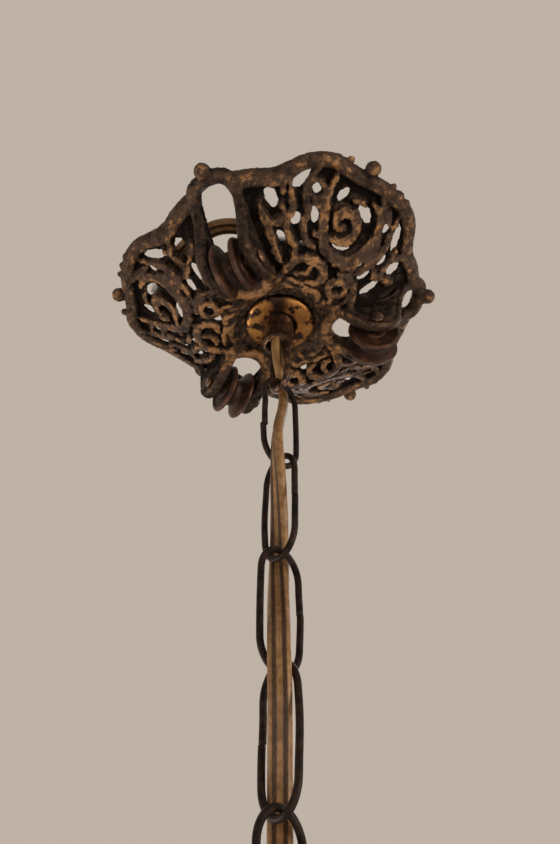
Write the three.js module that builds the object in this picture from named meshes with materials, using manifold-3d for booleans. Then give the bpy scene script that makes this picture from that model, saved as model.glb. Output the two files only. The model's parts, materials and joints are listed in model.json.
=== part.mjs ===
// A hanging lamp: an openwork cast canopy with three pulley forks, an oval link chain with a flat
// twin cord woven through it, and a lampholder with a bulb. Millimetres, +Z up. The origin is the
// centre of the ceiling plate's upper face, and the lamp hangs below it.

import {
	BoxGeometry, BufferAttribute, BufferGeometry, CatmullRomCurve3, Color, Curve, CylinderGeometry,
	ExtrudeGeometry, Group, LatheGeometry, Mesh, MeshStandardMaterial, Shape, SphereGeometry, Vector2,
	Vector3,
} from 'three';
import { ParametricGeometry } from 'three/addons/geometries/ParametricGeometry.js';
import { mergeVertices } from 'three/addons/utils/BufferGeometryUtils.js';
import Module from 'manifold-3d';

const wasm = await Module();
wasm.setup();

// Clearances
const gap = 0.3;                       // between pieces that touch
const roughGap = 0.5;                  // around the cord where it goes through metal

// Canopy
const sectors = 3;                     // forks, with one lobe between each pair
const firstFork = 242.5;               // azimuth of the first fork, degrees
const collarDrop = 24.5;               // ceiling to the underside of the collar ring
const castingWall = 2.2;
const seatLift = 2.9;                  // the canopy's centre above the collar's underside
const seatRadius = 13;
const seatBlend = 7;                   // width of the slope round the seat
const bowlStart = 28;                  // radius where the dish starts to rise
const bowlHeight = 16.8;
const bowlEase = 0.88;                 // below 1, the dish rises sooner
const lobeRadius = 60.5;
const notchRadius = 53.4;              // rim radius beside a fork
const notchFrom = 19;                  // degrees from the lobe's middle where the rim turns in
const notchTurn = 17;                  // degrees that the turn takes
const forkLift = 3.6;                  // how much higher the rim stands beside a fork
const forkLiftFrom = 24;               // degrees from the lobe's middle where that lift starts
const forkLiftTurn = 26;               // degrees that it takes
const forkLiftStart = 32;              // radius where it starts
const forkLiftRun = 22;                // radial length that it takes
const rimWidth = 3.4;                  // of the thick band along the rim
const rimWall = 3.8;
const lobeKnob = { radius: 2.9, past: 1.8, across: -2.2 };      // past: outside the rim's circle
const lobeBump = { radius: 1.6, past: -1.6, across: 11.6 };
const forkKnob = { radius: 3.1, past: 3.4, drop: 0.6 };
const forkBump = { radius: 1.6, back: 3.8, inset: 1.2 };
const castBar = 2.6;                   // radius of the arch that closes a fork
const forkReach = 54.5;                // from the canopy's axis to that arch
const forkTipHeight = 21.4;            // of that arch, above the collar's underside

// Forks and pulleys
const slotWidth = 12;
const slotStart = 19.5;                // radius of the slot's inner end
const cheekWall = 4.5;
const axleReach = 34.4;                // radius of the pulley's axle
const axleDepth = 5.7;                 // the axle below the collar's underside
const axleRadius = 1.5;
const rivetRadius = 2.5;
const rivetHeight = 1.1;
const pulleyRadius = 9.5;
const pulleyWidth = 9;
const grooveRadius = 5.6;
const flangeEdge = 1.5;

// Ceiling hardware
const plateRadius = 23;
const plateWall = 2.4;
const studRadius = 5;
const studLength = 4.4;                // below the plate
const plateScrewReach = 16.5;
const plateScrewRadius = 2;
const plateScrewHead = 3.7;
const plateScrewLength = 12;           // above the plate's upper face
const hickeyRadius = 9;
const hickeyRing = 3.6;                // height of the threaded ring at either end
const hickeyWindow = 6.6;              // open height between the rings
const hickeyStrap = 2.4;
const nippleRadius = 5;
const nippleBore = 3.7;
const nippleTopRise = 0.5;             // nipple above the hickey's lower ring
const nippleInLoop = 5.6;              // nipple inside the loop's neck

// Collar and loop
const collarRadius = 12.6;
const collarWall = 2.6;
const neckRadius = 6.5;
const hubLength = 12.4;                // of the loop's hub below the collar
const loopWire = 1.3;                  // radius
const loopHalfSpan = 4.5;              // from the loop's axis to a leg's middle
const loopReach = 32.4;                // collar's underside to the middle of the loop's lowest wire
const loopYaw = -50;                   // azimuth of the loop's plane, degrees

// Chain
const linkCount = 5;
const linkWire = 1;                    // radius
const linkHalfSpan = 7.1;              // from the link's axis to a leg's middle
const linkReach = 36.96;               // highest to lowest wire middle
const linkYaw = 40;                    // azimuth of the first link's plane, degrees
const quarter = 90;                    // each link is turned by this from the one above
const jointSlit = 0.4;                 // open butt joint in each link
const firstJointDrop = 4.8;            // the first link's joint below the middle of its leg

// Cord
const cordWidth = 6.2;
const cordThickness = 3.2;

// Lampholder
const holderLoopRadius = 4.6;
const holderLegLength = 8;             // from the loop's centre down into its hub
const holderHubRadius = 6.6;
const holderHubLength = 13;
const holderNippleLength = 9;
const capRadius = 18.6;
const capHeight = 14;
const capShoulder = [[6.1, 4], [1.8, 7.6], [0, 11]];            // in from the cap's side, down from its top
const brassWall = 0.8;
const shellHeight = 37;
const shellBead = 1;
const linerWall = 0.7;
const bodyClear = 1.2;                 // card liner to the porcelain body
const bodyHeight = 13;
const bodyFlange = 3;                  // height of the body's flange, and of the body below it
const capClear = 4;                    // cap's rim to the top of the holder's body
const sleeveClear = 0.5;               // bulb's screw cap to the sleeve
const sleeveHeight = 19;
const sleeveWall = 0.6;
const terminalReach = 9;
const terminalRadius = 2.2;
const terminalShank = 1.5;             // radius
const terminalLength = 5;              // of the shank below the body's top
const terminalHead = 1.5;              // height
const contactHeight = 4;

// Bulb
const bulbRadius = 30;
const bulbLength = 86;                 // glass alone
const bulbNeck = 12.2;
const bulbWall = 1;
const capScrewRadius = 13;
const capScrewLength = 17;
const capScrewCrown = 3.4;             // height of the screw cap's closed end
const buttonRadius = 4.6;
const buttonHeight = 1.2;
const insulatorHeight = 2.4;
const glassInCap = 6;                  // length of the glass's neck inside the screw cap
const neckLength = 10;                 // straight part of the neck
const stemReach = 34;                  // the stem's foot below the glass's upper edge
const stemFlare = { radius: 8, straight: 4, end: 16 };          // lengths below the glass's upper edge
const filamentRadius = 11;             // of the ring that the filament forms
const filamentDrop = 6;                // below the stem's foot
const filamentZigzag = 2;
const filamentWire = 0.35;             // radius
const leadSpread = 0.9;                // of the filament's leads at the stem, along X and Y

// Terminal block on the ceiling
const blockLength = 13;
const blockWidth = 9.5;
const blockHeight = 8;
const blockYaw = 116;                  // azimuth that the cord's ceiling end points to, degrees
const blockLip = 1.6;                  // block in front of the cord's end
const blockMouth = 4;                  // depth of the recess for the cord's end
const blockScrew = { radius: 1.5, back: 5, side: 2.2, height: 2.4, deep: 3 };

// How finely round things are divided
const wireSides = 6;
const castSides = 6;                   // of cast bars, knobs and piercings
const roundSides = 20;
const dishSteps = 48;
const bowlRings = 3;
const bendSteps = 6;
const cordSteps = 66;
const cutLength = 60;                  // of the tools that cut right through a piece

const degree = Math.PI / 180;
const collarZ = -collarDrop;
const slotHalf = slotWidth / 2;
const forkHalf = slotHalf + cheekWall;
const sectorAngle = 360 / sectors;
const loopBottomZ = collarZ - loopReach;
const firstLinkZ = loopBottomZ + loopWire + linkWire + gap;
const linkPitch = linkReach - 2 * linkWire - gap;
const lastLinkZ = firstLinkZ - (linkCount - 1) * linkPitch - linkReach;
const holderYaw = linkYaw + linkCount * quarter;
const holderTopZ = lastLinkZ + linkWire + loopWire + gap;

const finishes = {
	casting: new MeshStandardMaterial({ color: new Color(0x6b4a2a), roughness: 0.5, metalness: 0.85 }),
	iron: new MeshStandardMaterial({ color: new Color(0x2b1c14), roughness: 0.45, metalness: 0.8 }),
	bronze: new MeshStandardMaterial({ color: new Color(0x4a2d1b), roughness: 0.5, metalness: 0.7 }),
	brass: new MeshStandardMaterial({ color: new Color(0xb8863c), roughness: 0.35, metalness: 0.9 }),
	steel: new MeshStandardMaterial({ color: new Color(0x9a9a96), roughness: 0.4, metalness: 0.9 }),
	cord: new MeshStandardMaterial({ color: new Color(0xa9814e), roughness: 0.35, metalness: 0 }),
	porcelain: new MeshStandardMaterial({ color: new Color(0xece7dc), roughness: 0.25, metalness: 0 }),
	card: new MeshStandardMaterial({ color: new Color(0x5a4632), roughness: 0.9, metalness: 0 }),
	glass: new MeshStandardMaterial({ color: new Color(0xf1efe8), roughness: 0.05, metalness: 0 }),
	filament: new MeshStandardMaterial({ color: new Color(0x8c8c8c), roughness: 0.5, metalness: 0.6 }),
};

const smooth = (t) => {
	const s = Math.min(Math.max(t, 0), 1);
	return s * s * (3 - 2 * s);
};

// Turns a geometry into one closed surface: shared corners merged, collapsed faces dropped, faces out.
function closed(geometry) {
	const bare = geometry.clone();
	bare.deleteAttribute('normal');
	bare.deleteAttribute('uv');
	const merged = mergeVertices(bare, 1e-4);
	const index = merged.index.array;
	const corner = [0, 1, 2].map(() => new Vector3());
	const faces = [];
	let volume = 0;
	for (let i = 0; i < index.length; i += 3) {
		const [a, b, c] = [index[i], index[i + 1], index[i + 2]];
		if (a === b || b === c || c === a) continue;
		[a, b, c].forEach((v, k) => corner[k].fromBufferAttribute(merged.attributes.position, v));
		volume += corner[0].dot(corner[1].clone().cross(corner[2]));
		faces.push(a, b, c);
	}
	if (volume < 0) faces.reverse();
	merged.setIndex(new BufferAttribute(Uint32Array.from(faces), 1));
	return merged;
}

function toSolid(geometry) {
	const surface = closed(geometry);
	return new wasm.Manifold(new wasm.Mesh({
		numProp: 3,
		vertProperties: Float32Array.from(surface.attributes.position.array),
		triVerts: surface.index.array,
	}));
}

function toGeometry(solid) {
	const result = solid.getMesh();
	const geometry = new BufferGeometry();
	geometry.setAttribute('position', new BufferAttribute(result.vertProperties, 3));
	geometry.setIndex(new BufferAttribute(result.triVerts, 1));
	return geometry;
}

// Joins the first list of geometries and cuts the second list out of them.
function shaped(joined, cut = []) {
	let solid = toSolid(joined[0]);
	for (const piece of joined.slice(1)) solid = solid.add(toSolid(piece));
	for (const piece of cut) solid = solid.subtract(toSolid(piece));
	return toGeometry(solid);
}

function piece(name, geometry, finish) {
	const surface = closed(geometry);
	surface.computeVertexNormals();
	const mesh = new Mesh(surface, finishes[finish]);
	mesh.name = name;
	return mesh;
}

// A turned piece about Z from [radius, z] pairs. The outline closes on itself or lies on the axis.
function turned(outline, sides = roundSides) {
	const points = outline.map(([radius, z]) => new Vector2(radius, z));
	const onAxis = outline[0][0] === 0 && outline[outline.length - 1][0] === 0;
	if (!onAxis) points.push(points[0].clone());
	return new LatheGeometry(points, sides).rotateX(Math.PI / 2);
}

function disc(radius, bottom, top, sides = roundSides) {
	return turned([[0, bottom], [radius, bottom], [radius, top], [0, top]], sides);
}

function ring(outer, inner, bottom, top, sides = roundSides) {
	return turned([[inner, bottom], [outer, bottom], [outer, top], [inner, top]], sides);
}

// An oval section, rounder or squarer with its power.
function oval(halfX, halfY, sides, power = 1) {
	const points = [];
	for (let i = 0; i < sides; i += 1) {
		const angle = (i + 0.5) / sides * 2 * Math.PI;
		const [c, s] = [Math.cos(angle), Math.sin(angle)];
		points.push(new Vector2(
			halfX * Math.sign(c) * Math.abs(c) ** power,
			halfY * Math.sign(s) * Math.abs(s) ** power,
		));
	}
	return new Shape(points);
}

// A route in space whose section keeps a chosen direction.
class Route extends Curve {
	constructor(at, side) {
		super();
		this.at = at;
		this.side = side;
	}

	getPoint(t, target = new Vector3()) {
		return target.copy(this.at(t));
	}

	computeFrenetFrames(segments) {
		const frames = { tangents: [], normals: [], binormals: [] };
		for (let i = 0; i <= segments; i += 1) {
			const tangent = this.getTangentAt(i / segments);
			const binormal = tangent.clone().cross(this.side(i / segments)).normalize();
			frames.tangents.push(tangent);
			frames.binormals.push(binormal);
			frames.normals.push(binormal.clone().cross(tangent));
		}
		return frames;
	}
}

function swept(section, route, steps) {
	return new ExtrudeGeometry(section, { steps, extrudePath: route, bevelEnabled: false });
}

function splineRoute(points, side) {
	const spline = new CatmullRomCurve3(points.map((p) => new Vector3(...p)));
	return new Route((t) => spline.getPoint(t), typeof side === 'function' ? side : () => side);
}

// Height of the dish's underside above the collar's, at a radius and an angle from a lobe's middle.
function dishHeight(radius, angle) {
	const seat = seatLift * (1 - smooth((radius - seatRadius) / seatBlend));
	const along = Math.min(Math.max((radius - bowlStart) / (lobeRadius - bowlStart), 0), 1);
	const bowl = bowlHeight * (1 - Math.cos(Math.PI * along ** bowlEase)) / 2;
	const byAngle = smooth((Math.abs(angle) - forkLiftFrom) / forkLiftTurn);
	const byRadius = smooth((radius - forkLiftStart) / forkLiftRun);
	return seat + bowl + forkLift * byAngle * byRadius;
}

function rimRadius(angle) {
	const turn = smooth((Math.abs(angle) - notchFrom) / notchTurn);
	return lobeRadius - (lobeRadius - notchRadius) * turn;
}

// A point on the dish under a lobe: across is sideways from the lobe's middle, out is from the hub.
function onDish(across, out, lift = 0) {
	const height = dishHeight(Math.hypot(across, out), Math.atan2(across, out) / degree);
	return [out, across, height + lift];
}

// The dish is one closed skin: rings go out along its underside and back along its upper side.
function dish() {
	const dishRings = bowlRings + 5;
	const slices = 2 * (dishRings + 1);
	const inner = neckRadius + gap;
	const surface = (u, v, target) => {
		const k = Math.round(u * slices) % slices;
		const under = k <= dishRings;
		const step = under ? k : slices - 1 - k;
		const azimuth = (v % 1) * 360;
		const angle = ((azimuth + sectorAngle / 2) % sectorAngle) - sectorAngle / 2;
		const rim = rimRadius(angle);
		const bandStart = rim - rimWidth;
		const fold = bandStart - castingWall / 2;
		const radii = [inner, seatRadius, seatRadius + seatBlend, bowlStart];
		for (let i = 1; i < bowlRings; i += 1) radii.push(bowlStart + (fold - bowlStart) * i / bowlRings);
		radii.push(fold, bandStart, rim);
		const radius = radii[step];
		const wall = radius < bandStart ? castingWall : rimWall;
		const height = dishHeight(radius, angle) + (under ? 0 : wall);
		target.set(radius * Math.cos(azimuth * degree), radius * Math.sin(azimuth * degree), height);
	};
	return new ParametricGeometry(surface, slices, dishSteps);
}

// Piercings of a lobe: [across, out, half length, half width, turn in degrees].
const piercings = [
	[19.6, 47.2, 4.4, 1.5, 108], [14.0, 47.8, 1.6, 1.2, 60], [4.1, 48.6, 3.3, 1.6, -20],
	[25.8, 36.9, 2.4, 2.0, 30], [18.5, 38.8, 1.8, 1.2, 60], [13.8, 33.2, 2.3, 1.1, 42],
	[19.6, 30.0, 3.4, 1.4, 50], [1.2, 37.9, 3.0, 1.1, 12], [-6.4, 50.0, 2.1, 1.1, 60],
	[-22.0, 48.4, 4.6, 1.9, 84], [-15.0, 47.3, 1.5, 1.3, 0], [-12.3, 41.3, 2.2, 1.2, -52],
	[-17.3, 37.2, 1.8, 1.4, 60], [-27.4, 37.0, 2.7, 1.8, -15], [-18.9, 30.6, 1.9, 1.0, -20],
];

function piercing([across, out, halfLength, halfWidth, turn]) {
	const section = oval(halfLength, halfWidth, castSides);
	const prism = new ExtrudeGeometry(section, { depth: cutLength, bevelEnabled: false });
	return prism.translate(0, 0, -cutLength / 2).rotateZ((90 - turn) * degree).translate(out, across, 0);
}

// Raised bosses of a lobe: a pierced ring and a shell.
const ringBoss = { across: 6.4, out: 27, radius: 4, hole: 2, depth: 3.4 };
const shellBoss = { across: -6.8, out: 26.6, halfWidth: 6.8, halfLength: 5.4, depth: 4.4 };

function knob(radius, place) {
	return new SphereGeometry(radius, castSides, 4).rotateX(Math.PI / 2).translate(...place);
}

function lobeParts() {
	const knobHeight = dishHeight(lobeRadius, 0) + rimWall / 3;
	const boss = ring(ringBoss.radius, ringBoss.hole, -ringBoss.depth, castingWall / 2, 10);
	const shell = new SphereGeometry(1, 8, 6).rotateX(Math.PI / 2);
	shell.scale(shellBoss.halfLength, shellBoss.halfWidth, shellBoss.depth);
	return [
		knob(lobeKnob.radius, [lobeRadius + lobeKnob.past, lobeKnob.across, knobHeight]),
		knob(lobeBump.radius, [lobeRadius + lobeBump.past, lobeBump.across, knobHeight]),
		boss.translate(ringBoss.out, ringBoss.across, 0),
		shell.translate(shellBoss.out, shellBoss.across, 0),
	];
}

// Outline of a fork's cheek, seen from the side: [radius, height above the collar's underside]. An ear
// carries the axle, and an arm rises from it to the arch.
const armFoot = [axleReach + 9.9, 6.2 - axleDepth];
const armTip = [forkReach - 1.5, forkTipHeight - 1.8];
const armDepth = [-3.6, 3.2];          // from the arm's lower edge to its upper edge
const armLower = [[0, 0], [0.13, 0.34], [0.36, 0.65], [0.66, 0.87], [1, 1]].map((share) => (
	share.map((s, k) => armFoot[k] + (armTip[k] - armFoot[k]) * s)
));
const armUpper = armLower.slice(1).map((point) => point.map((v, k) => v + armDepth[k]));
const cheekOutline = [
	[18, -0.4], [23, -3.8], [axleReach - 5.9, -axleDepth - 2.2], [axleReach, -axleDepth - 4],
	[axleReach + 5.2, -axleDepth - 3.1], [axleReach + 8.8, 0.5 - axleDepth], ...armLower,
	...armUpper.reverse(), [axleReach + 3.2, 6.4], [31, 3.6], [25, 2.8], [18, 2.6],
];

function cheek(side) {
	const spline = new CatmullRomCurve3(cheekOutline.map(([r, h]) => new Vector3(r, h, 0)), true);
	const outline = spline.getPoints(cheekOutline.length).slice(0, -1);
	const shape = new Shape(outline.map((p) => new Vector2(p.x, p.y)));
	const plate = new ExtrudeGeometry(shape, { depth: cheekWall, bevelEnabled: false });
	return plate.rotateX(Math.PI / 2).translate(0, side > 0 ? forkHalf : -slotHalf, 0);
}

function forkParts() {
	const shoulder = forkHalf - cheekWall / 2;
	const arch = [
		[forkReach - 5.4, -shoulder, forkTipHeight - 2.8], [forkReach - 1.4, -slotHalf, forkTipHeight - 1],
		[forkReach, 0, forkTipHeight],
		[forkReach - 1.4, slotHalf, forkTipHeight - 1], [forkReach - 5.4, shoulder, forkTipHeight - 2.8],
	];
	const bend = [];
	for (let i = 0; i <= bendSteps; i += 1) {
		const angle = (90 + i / bendSteps * 180) * degree;
		bend.push([slotStart + slotHalf + shoulder * Math.cos(angle), shoulder * Math.sin(angle), 0.4]);
	}
	const up = new Vector3(0, 0, 1);
	const bumps = [-1, 1].map((side) => knob(forkBump.radius, [
		forkReach - forkBump.back, side * (forkHalf - forkBump.inset), forkTipHeight,
	]));
	return [
		cheek(1),
		cheek(-1),
		swept(oval(castBar, castBar, castSides), splineRoute(arch, up), bendSteps),
		swept(oval(cheekWall / 2, cheekWall / 2, castSides), splineRoute(bend, up), bendSteps),
		knob(forkKnob.radius, [forkReach + forkKnob.past, 0, forkTipHeight - forkKnob.drop]),
		...bumps,
	];
}

function slotCut() {
	const shape = new Shape();
	shape.moveTo(2 * lobeRadius, -slotHalf);
	shape.lineTo(2 * lobeRadius, slotHalf);
	shape.lineTo(slotStart + slotHalf, slotHalf);
	shape.absarc(slotStart + slotHalf, 0, slotHalf, Math.PI / 2, Math.PI * 1.5, false);
	const prism = new ExtrudeGeometry(shape, { depth: cutLength, bevelEnabled: false, curveSegments: 8 });
	return prism.translate(0, 0, -cutLength / 2);
}

function axleCut() {
	const bore = new CylinderGeometry(axleRadius + gap, axleRadius + gap, cutLength, 12);
	return bore.translate(axleReach, 0, -axleDepth);
}

const sectorTurn = (i) => (firstFork + i * sectorAngle) * degree;

function canopy() {
	const turn = (geometry, angle) => geometry.rotateZ(angle * degree);
	const halfSector = sectorAngle / 2;
	const body = [dish()];
	const cuts = [];
	for (let i = 0; i < sectors; i += 1) {
		body.push(...lobeParts().map((g) => turn(g, i * sectorAngle)));
		cuts.push(...piercings.map((p) => turn(piercing(p), i * sectorAngle)));
	}
	for (let i = 0; i < sectors; i += 1) cuts.push(turn(slotCut(), halfSector + i * sectorAngle));
	const pierced = shaped(body, cuts);
	const forks = [pierced];
	const forkCuts = [];
	for (let i = 0; i < sectors; i += 1) {
		forks.push(...forkParts().map((g) => turn(g, halfSector + i * sectorAngle)));
		forkCuts.push(turn(axleCut(), halfSector + i * sectorAngle));
	}
	return shaped(forks, forkCuts);
}

const lamp = new Group();

const casting = piece('canopy_casting', canopy(), 'casting');
casting.position.z = collarZ;
casting.rotation.z = sectorTurn(0) - sectorAngle / 2 * degree;
lamp.add(casting);

// Pulleys and their riveted axles, each pair in its fork.
function pulleyShape() {
	const half = pulleyWidth / 2;
	const groove = half - flangeEdge;
	return turned([
		[axleRadius + gap, -half], [pulleyRadius - 0.7, -half], [pulleyRadius, -groove],
		[grooveRadius, -groove * 0.4], [grooveRadius, groove * 0.4], [pulleyRadius, groove],
		[pulleyRadius - 0.7, half], [axleRadius + gap, half],
	]).rotateX(Math.PI / 2);
}

function axleShape() {
	const end = forkHalf + gap;
	return turned([
		[0, -end - rivetHeight], [rivetRadius * 0.7, -end - rivetHeight * 0.8], [rivetRadius, -end],
		[axleRadius, -end], [axleRadius, end], [rivetRadius, end],
		[rivetRadius * 0.7, end + rivetHeight * 0.8], [0, end + rivetHeight],
	], 12).rotateX(Math.PI / 2);
}

for (let i = 0; i < sectors; i += 1) {
	const fork = new Group();
	fork.rotation.z = sectorTurn(i);
	const pulley = piece(`pulley_${i + 1}`, pulleyShape(), 'bronze');
	const axle = piece(`pulley_axle_${i + 1}`, axleShape(), 'iron');
	for (const part of [pulley, axle]) part.position.set(axleReach, 0, collarZ - axleDepth);
	fork.add(pulley, axle);
	lamp.add(fork);
}

// Ceiling plate with its threaded stud, and the screws that hold it.
const plateScrews = [0, 1, 2].map((i) => sectorTurn(i) + sectorAngle / 2 * degree);
const stud = disc(studRadius, -plateWall - studLength, -plateWall / 2);
const plateHoles = plateScrews.map((angle) => (
	disc(plateScrewRadius + gap, -cutLength / 2, cutLength / 2, 12)
		.translate(plateScrewReach * Math.cos(angle), plateScrewReach * Math.sin(angle), 0)
));
lamp.add(piece('ceiling_plate', shaped([disc(plateRadius, -plateWall, 0), stud], plateHoles), 'steel'));

function plateScrew() {
	const headTop = -plateWall - gap;
	const slot = new BoxGeometry(plateScrewHead * 2.2, 0.9, 1.2).translate(0, 0, headTop - 2);
	return shaped([turned([
		[0, headTop - 2], [plateScrewHead * 0.6, headTop - 1.7], [plateScrewHead, headTop],
		[plateScrewRadius, headTop], [plateScrewRadius, plateScrewLength - 3], [0, plateScrewLength],
	], 12)], [slot]);
}

plateScrews.forEach((angle, i) => {
	const screw = piece(`plate_screw_${i + 1}`, plateScrew(), 'steel');
	screw.position.set(plateScrewReach * Math.cos(angle), plateScrewReach * Math.sin(angle), 0);
	lamp.add(screw);
});

// Open-sided coupling between the stud and the nipple: the cord leaves through its window.
const hickeyTop = -plateWall - gap;
const hickeyLow = hickeyTop - 2 * hickeyRing - hickeyWindow;
const windowTop = hickeyTop - hickeyRing;
const windowLow = windowTop - hickeyWindow;
const hickeySolid = ring(hickeyRadius, studRadius + gap, hickeyLow, hickeyTop, 16);
const hickeyWindowCut = new BoxGeometry(2 * (hickeyRadius - hickeyStrap), 4 * hickeyRadius, hickeyWindow)
	.translate(0, 0, (windowTop + windowLow) / 2);
lamp.add(piece('hickey', shaped([hickeySolid], [hickeyWindowCut]), 'iron'));

// The nipple joins the hickey to the loop's neck.
const neckTop = hickeyLow - gap;
const nippleTop = windowLow + nippleTopRise;
const nippleLow = neckTop - nippleInLoop;
lamp.add(piece('nipple', ring(nippleRadius, nippleBore, nippleLow, nippleTop), 'brass'));

// Cord route from the ceiling block to the lampholder, as [x, y, z], with the azimuth of its wide side.
const cordRoute = [
	[-40.4, -11.4, -4.4, 26], [-37.2, -18, -4.4, 34], [-31, -24.6, -4.5, 50], [-21.5, -30, -4.8, 68],
	[-12, -29.6, -5.6, 110], [-5, -23, -7, 150], [-1.2, -14, -8.6, 172], [0, -6.4, -9.6, 180],
	[0, -1.9, -10.6, 180], [0, 0, -13.6, 182], [0, 0, -18, 205], [0, 0, -23, 238],
	[-0.2, -0.4, -28, 246], [-0.6, -1.2, -33, 250], [-1, -1.8, -38, 249], [-0.5, -0.6, -43.5, 244],
	[0.5, 2.6, -49, 250], [1.2, 7, -55.6, 266], [0.7, 4.6, -64.5, 270], [-0.1, 0, -73, 272],
	[-0.8, -4.5, -81.6, 276], [-0.9, -6.4, -90.1, 286], [-0.6, -4.7, -99, 298], [-0.3, 0, -107.4, 308],
	[-0.2, 4.4, -115.8, 320], [-0.3, 6.2, -124.8, 334], [-0.4, 4.4, -133.8, 348], [-0.4, 0, -142.1, 357],
	[-0.3, -4.4, -150.4, 360], [-0.2, -6.2, -159.4, 360], [0, -4.4, -168.4, 360], [0, 0, -176.8, 360],
	[0, 4.4, -185.2, 360], [0, 6.2, -194.1, 360], [0, 4.4, -203, 360], [0, 0, -211.4, 360],
	[0, -4.8, -220, 360], [0, -7.4, -227.6, 360], [0, -7.6, -234, 360], [0, -4.6, -239.6, 360],
	[0, -1.2, -244.6, 360], [0, 0, -250, 360], [0, 0, -258, 360], [0, 0, -267.3, 360],
];

function cordPath() {
	const spline = new CatmullRomCurve3(cordRoute.map(([x, y, z]) => new Vector3(x, y, z)));
	const last = cordRoute.length - 1;
	const wideAzimuth = (t) => {
		const place = Math.min(Math.max(t, 0), 1) * last;
		const k = Math.min(Math.floor(place), last - 1);
		return cordRoute[k][3] + (cordRoute[k + 1][3] - cordRoute[k][3]) * (place - k);
	};
	const route = new Route((t) => spline.getPoint(t), (u) => {
		const azimuth = wideAzimuth(route.getUtoTmapping(u)) * degree;
		return new Vector3(Math.cos(azimuth), Math.sin(azimuth), 0);
	});
	return route;
}

const cordSection = (extra, sides) => oval(cordWidth / 2 + extra, cordThickness / 2 + extra, sides, 0.72);
lamp.add(piece('lamp_cord', swept(cordSection(0, 8), cordPath(), cordSteps), 'cord'));
const cordChannel = () => swept(cordSection(roughGap, 8), cordPath(), cordSteps);

// Screw collar that carries the canopy on the loop's neck.
const collarTop = collarZ + collarWall;
lamp.add(piece('collar_ring', turned([
	[neckRadius + gap, collarZ], [collarRadius - 0.6, collarZ], [collarRadius, collarZ + 0.6],
	[collarRadius, collarTop - 0.4], [collarRadius - 0.4, collarTop], [neckRadius + gap, collarTop],
], 28), 'brass'));

// A wire loop that hangs from a hub: legs, and a half circle below.
function loopWireShape(halfSpan, topZ, bottomZ) {
	const arcZ = bottomZ + halfSpan;
	const leg = topZ - arcZ;
	const total = 2 * leg + Math.PI * halfSpan;
	const at = (t) => {
		const along = t * total;
		if (along < leg) return new Vector3(-halfSpan, 0, topZ - along);
		if (along > total - leg) return new Vector3(halfSpan, 0, topZ - (total - along));
		const angle = (along - leg) / halfSpan;
		return new Vector3(-halfSpan * Math.cos(angle), 0, arcZ - halfSpan * Math.sin(angle));
	};
	return swept(oval(loopWire, loopWire, wireSides), new Route(at, () => new Vector3(0, 1, 0)), 22);
}

const hubLow = collarZ - hubLength;
const loopHub = turned([
	[0, hubLow], [3.4, hubLow + 0.4], [5.2, hubLow + 2], [6.1, hubLow + 4.6], [neckRadius, collarZ - gap],
	[neckRadius, neckTop], [0, neckTop],
]);
const loopBody = shaped([
	loopHub,
	loopWireShape(loopHalfSpan, hubLow + 3, loopBottomZ).rotateZ(loopYaw * degree),
], [
	disc(nippleRadius + gap, nippleLow - gap, 0),
	cordChannel(),
]);
lamp.add(piece('screw_collar_loop', loopBody, 'iron'));

// Chain links: bent wire, open at a butt joint in one leg.
function linkShape(jointDrop) {
	const straight = linkReach - 2 * linkHalfSpan;
	const arc = Math.PI * linkHalfSpan;
	const total = 2 * straight + 2 * arc - jointSlit;
	const topZ = -linkHalfSpan;
	const lowZ = topZ - straight;
	const middle = straight / 2;
	const at = (t) => {
		const along = t * total + middle + jointDrop + jointSlit;
		const turnLength = straight + arc;
		const half = Math.floor(along / turnLength) % 2;
		const rest = along % turnLength;
		const side = half === 0 ? -1 : 1;
		if (rest < straight) {
			return new Vector3(side * linkHalfSpan, 0, half === 0 ? topZ - rest : lowZ + rest);
		}
		const angle = (rest - straight) / linkHalfSpan;
		return new Vector3(
			side * linkHalfSpan * Math.cos(angle), 0,
			half === 0 ? lowZ - linkHalfSpan * Math.sin(angle) : topZ + linkHalfSpan * Math.sin(angle),
		);
	};
	return swept(oval(linkWire, linkWire, wireSides), new Route(at, () => new Vector3(0, 1, 0)), 28);
}

for (let i = 0; i < linkCount; i += 1) {
	const link = piece(`chain_link_${i + 1}`, linkShape(i === 0 ? firstJointDrop : 0), 'iron');
	link.position.z = firstLinkZ - i * linkPitch;
	link.rotation.z = (linkYaw + i * quarter) * degree;
	lamp.add(link);
}

// Lampholder: loop, nipple, cap, shell, card liner, porcelain body, screw sleeve and contacts.
const holderArcZ = holderTopZ - holderLoopRadius;
const holderHubTop = holderArcZ - 4.4;
const holderHubLow = holderHubTop - holderHubLength;
const capTop = holderHubLow - gap;
const holderLoop = loopWireShape(holderLoopRadius, holderLegLength, -holderLoopRadius)
	.rotateX(Math.PI).rotateZ(holderYaw * degree).translate(0, 0, holderArcZ);
const holderHub = turned([
	[0, holderHubLow], [holderHubRadius, holderHubLow], [holderHubRadius, holderHubTop - 3],
	[5.2, holderHubTop - 0.8], [2.4, holderHubTop], [0, holderHubTop],
]);
const holderNippleTop = holderHubLow + 4;
lamp.add(piece('lampholder_loop', shaped([holderHub, holderLoop], [
	disc(nippleRadius + gap, holderHubLow - 1, holderNippleTop + gap),
	cordChannel(),
]), 'brass'));
lamp.add(piece('lampholder_nipple', ring(
	nippleRadius, nippleBore, holderNippleTop - holderNippleLength, holderNippleTop,
), 'brass'));

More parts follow.
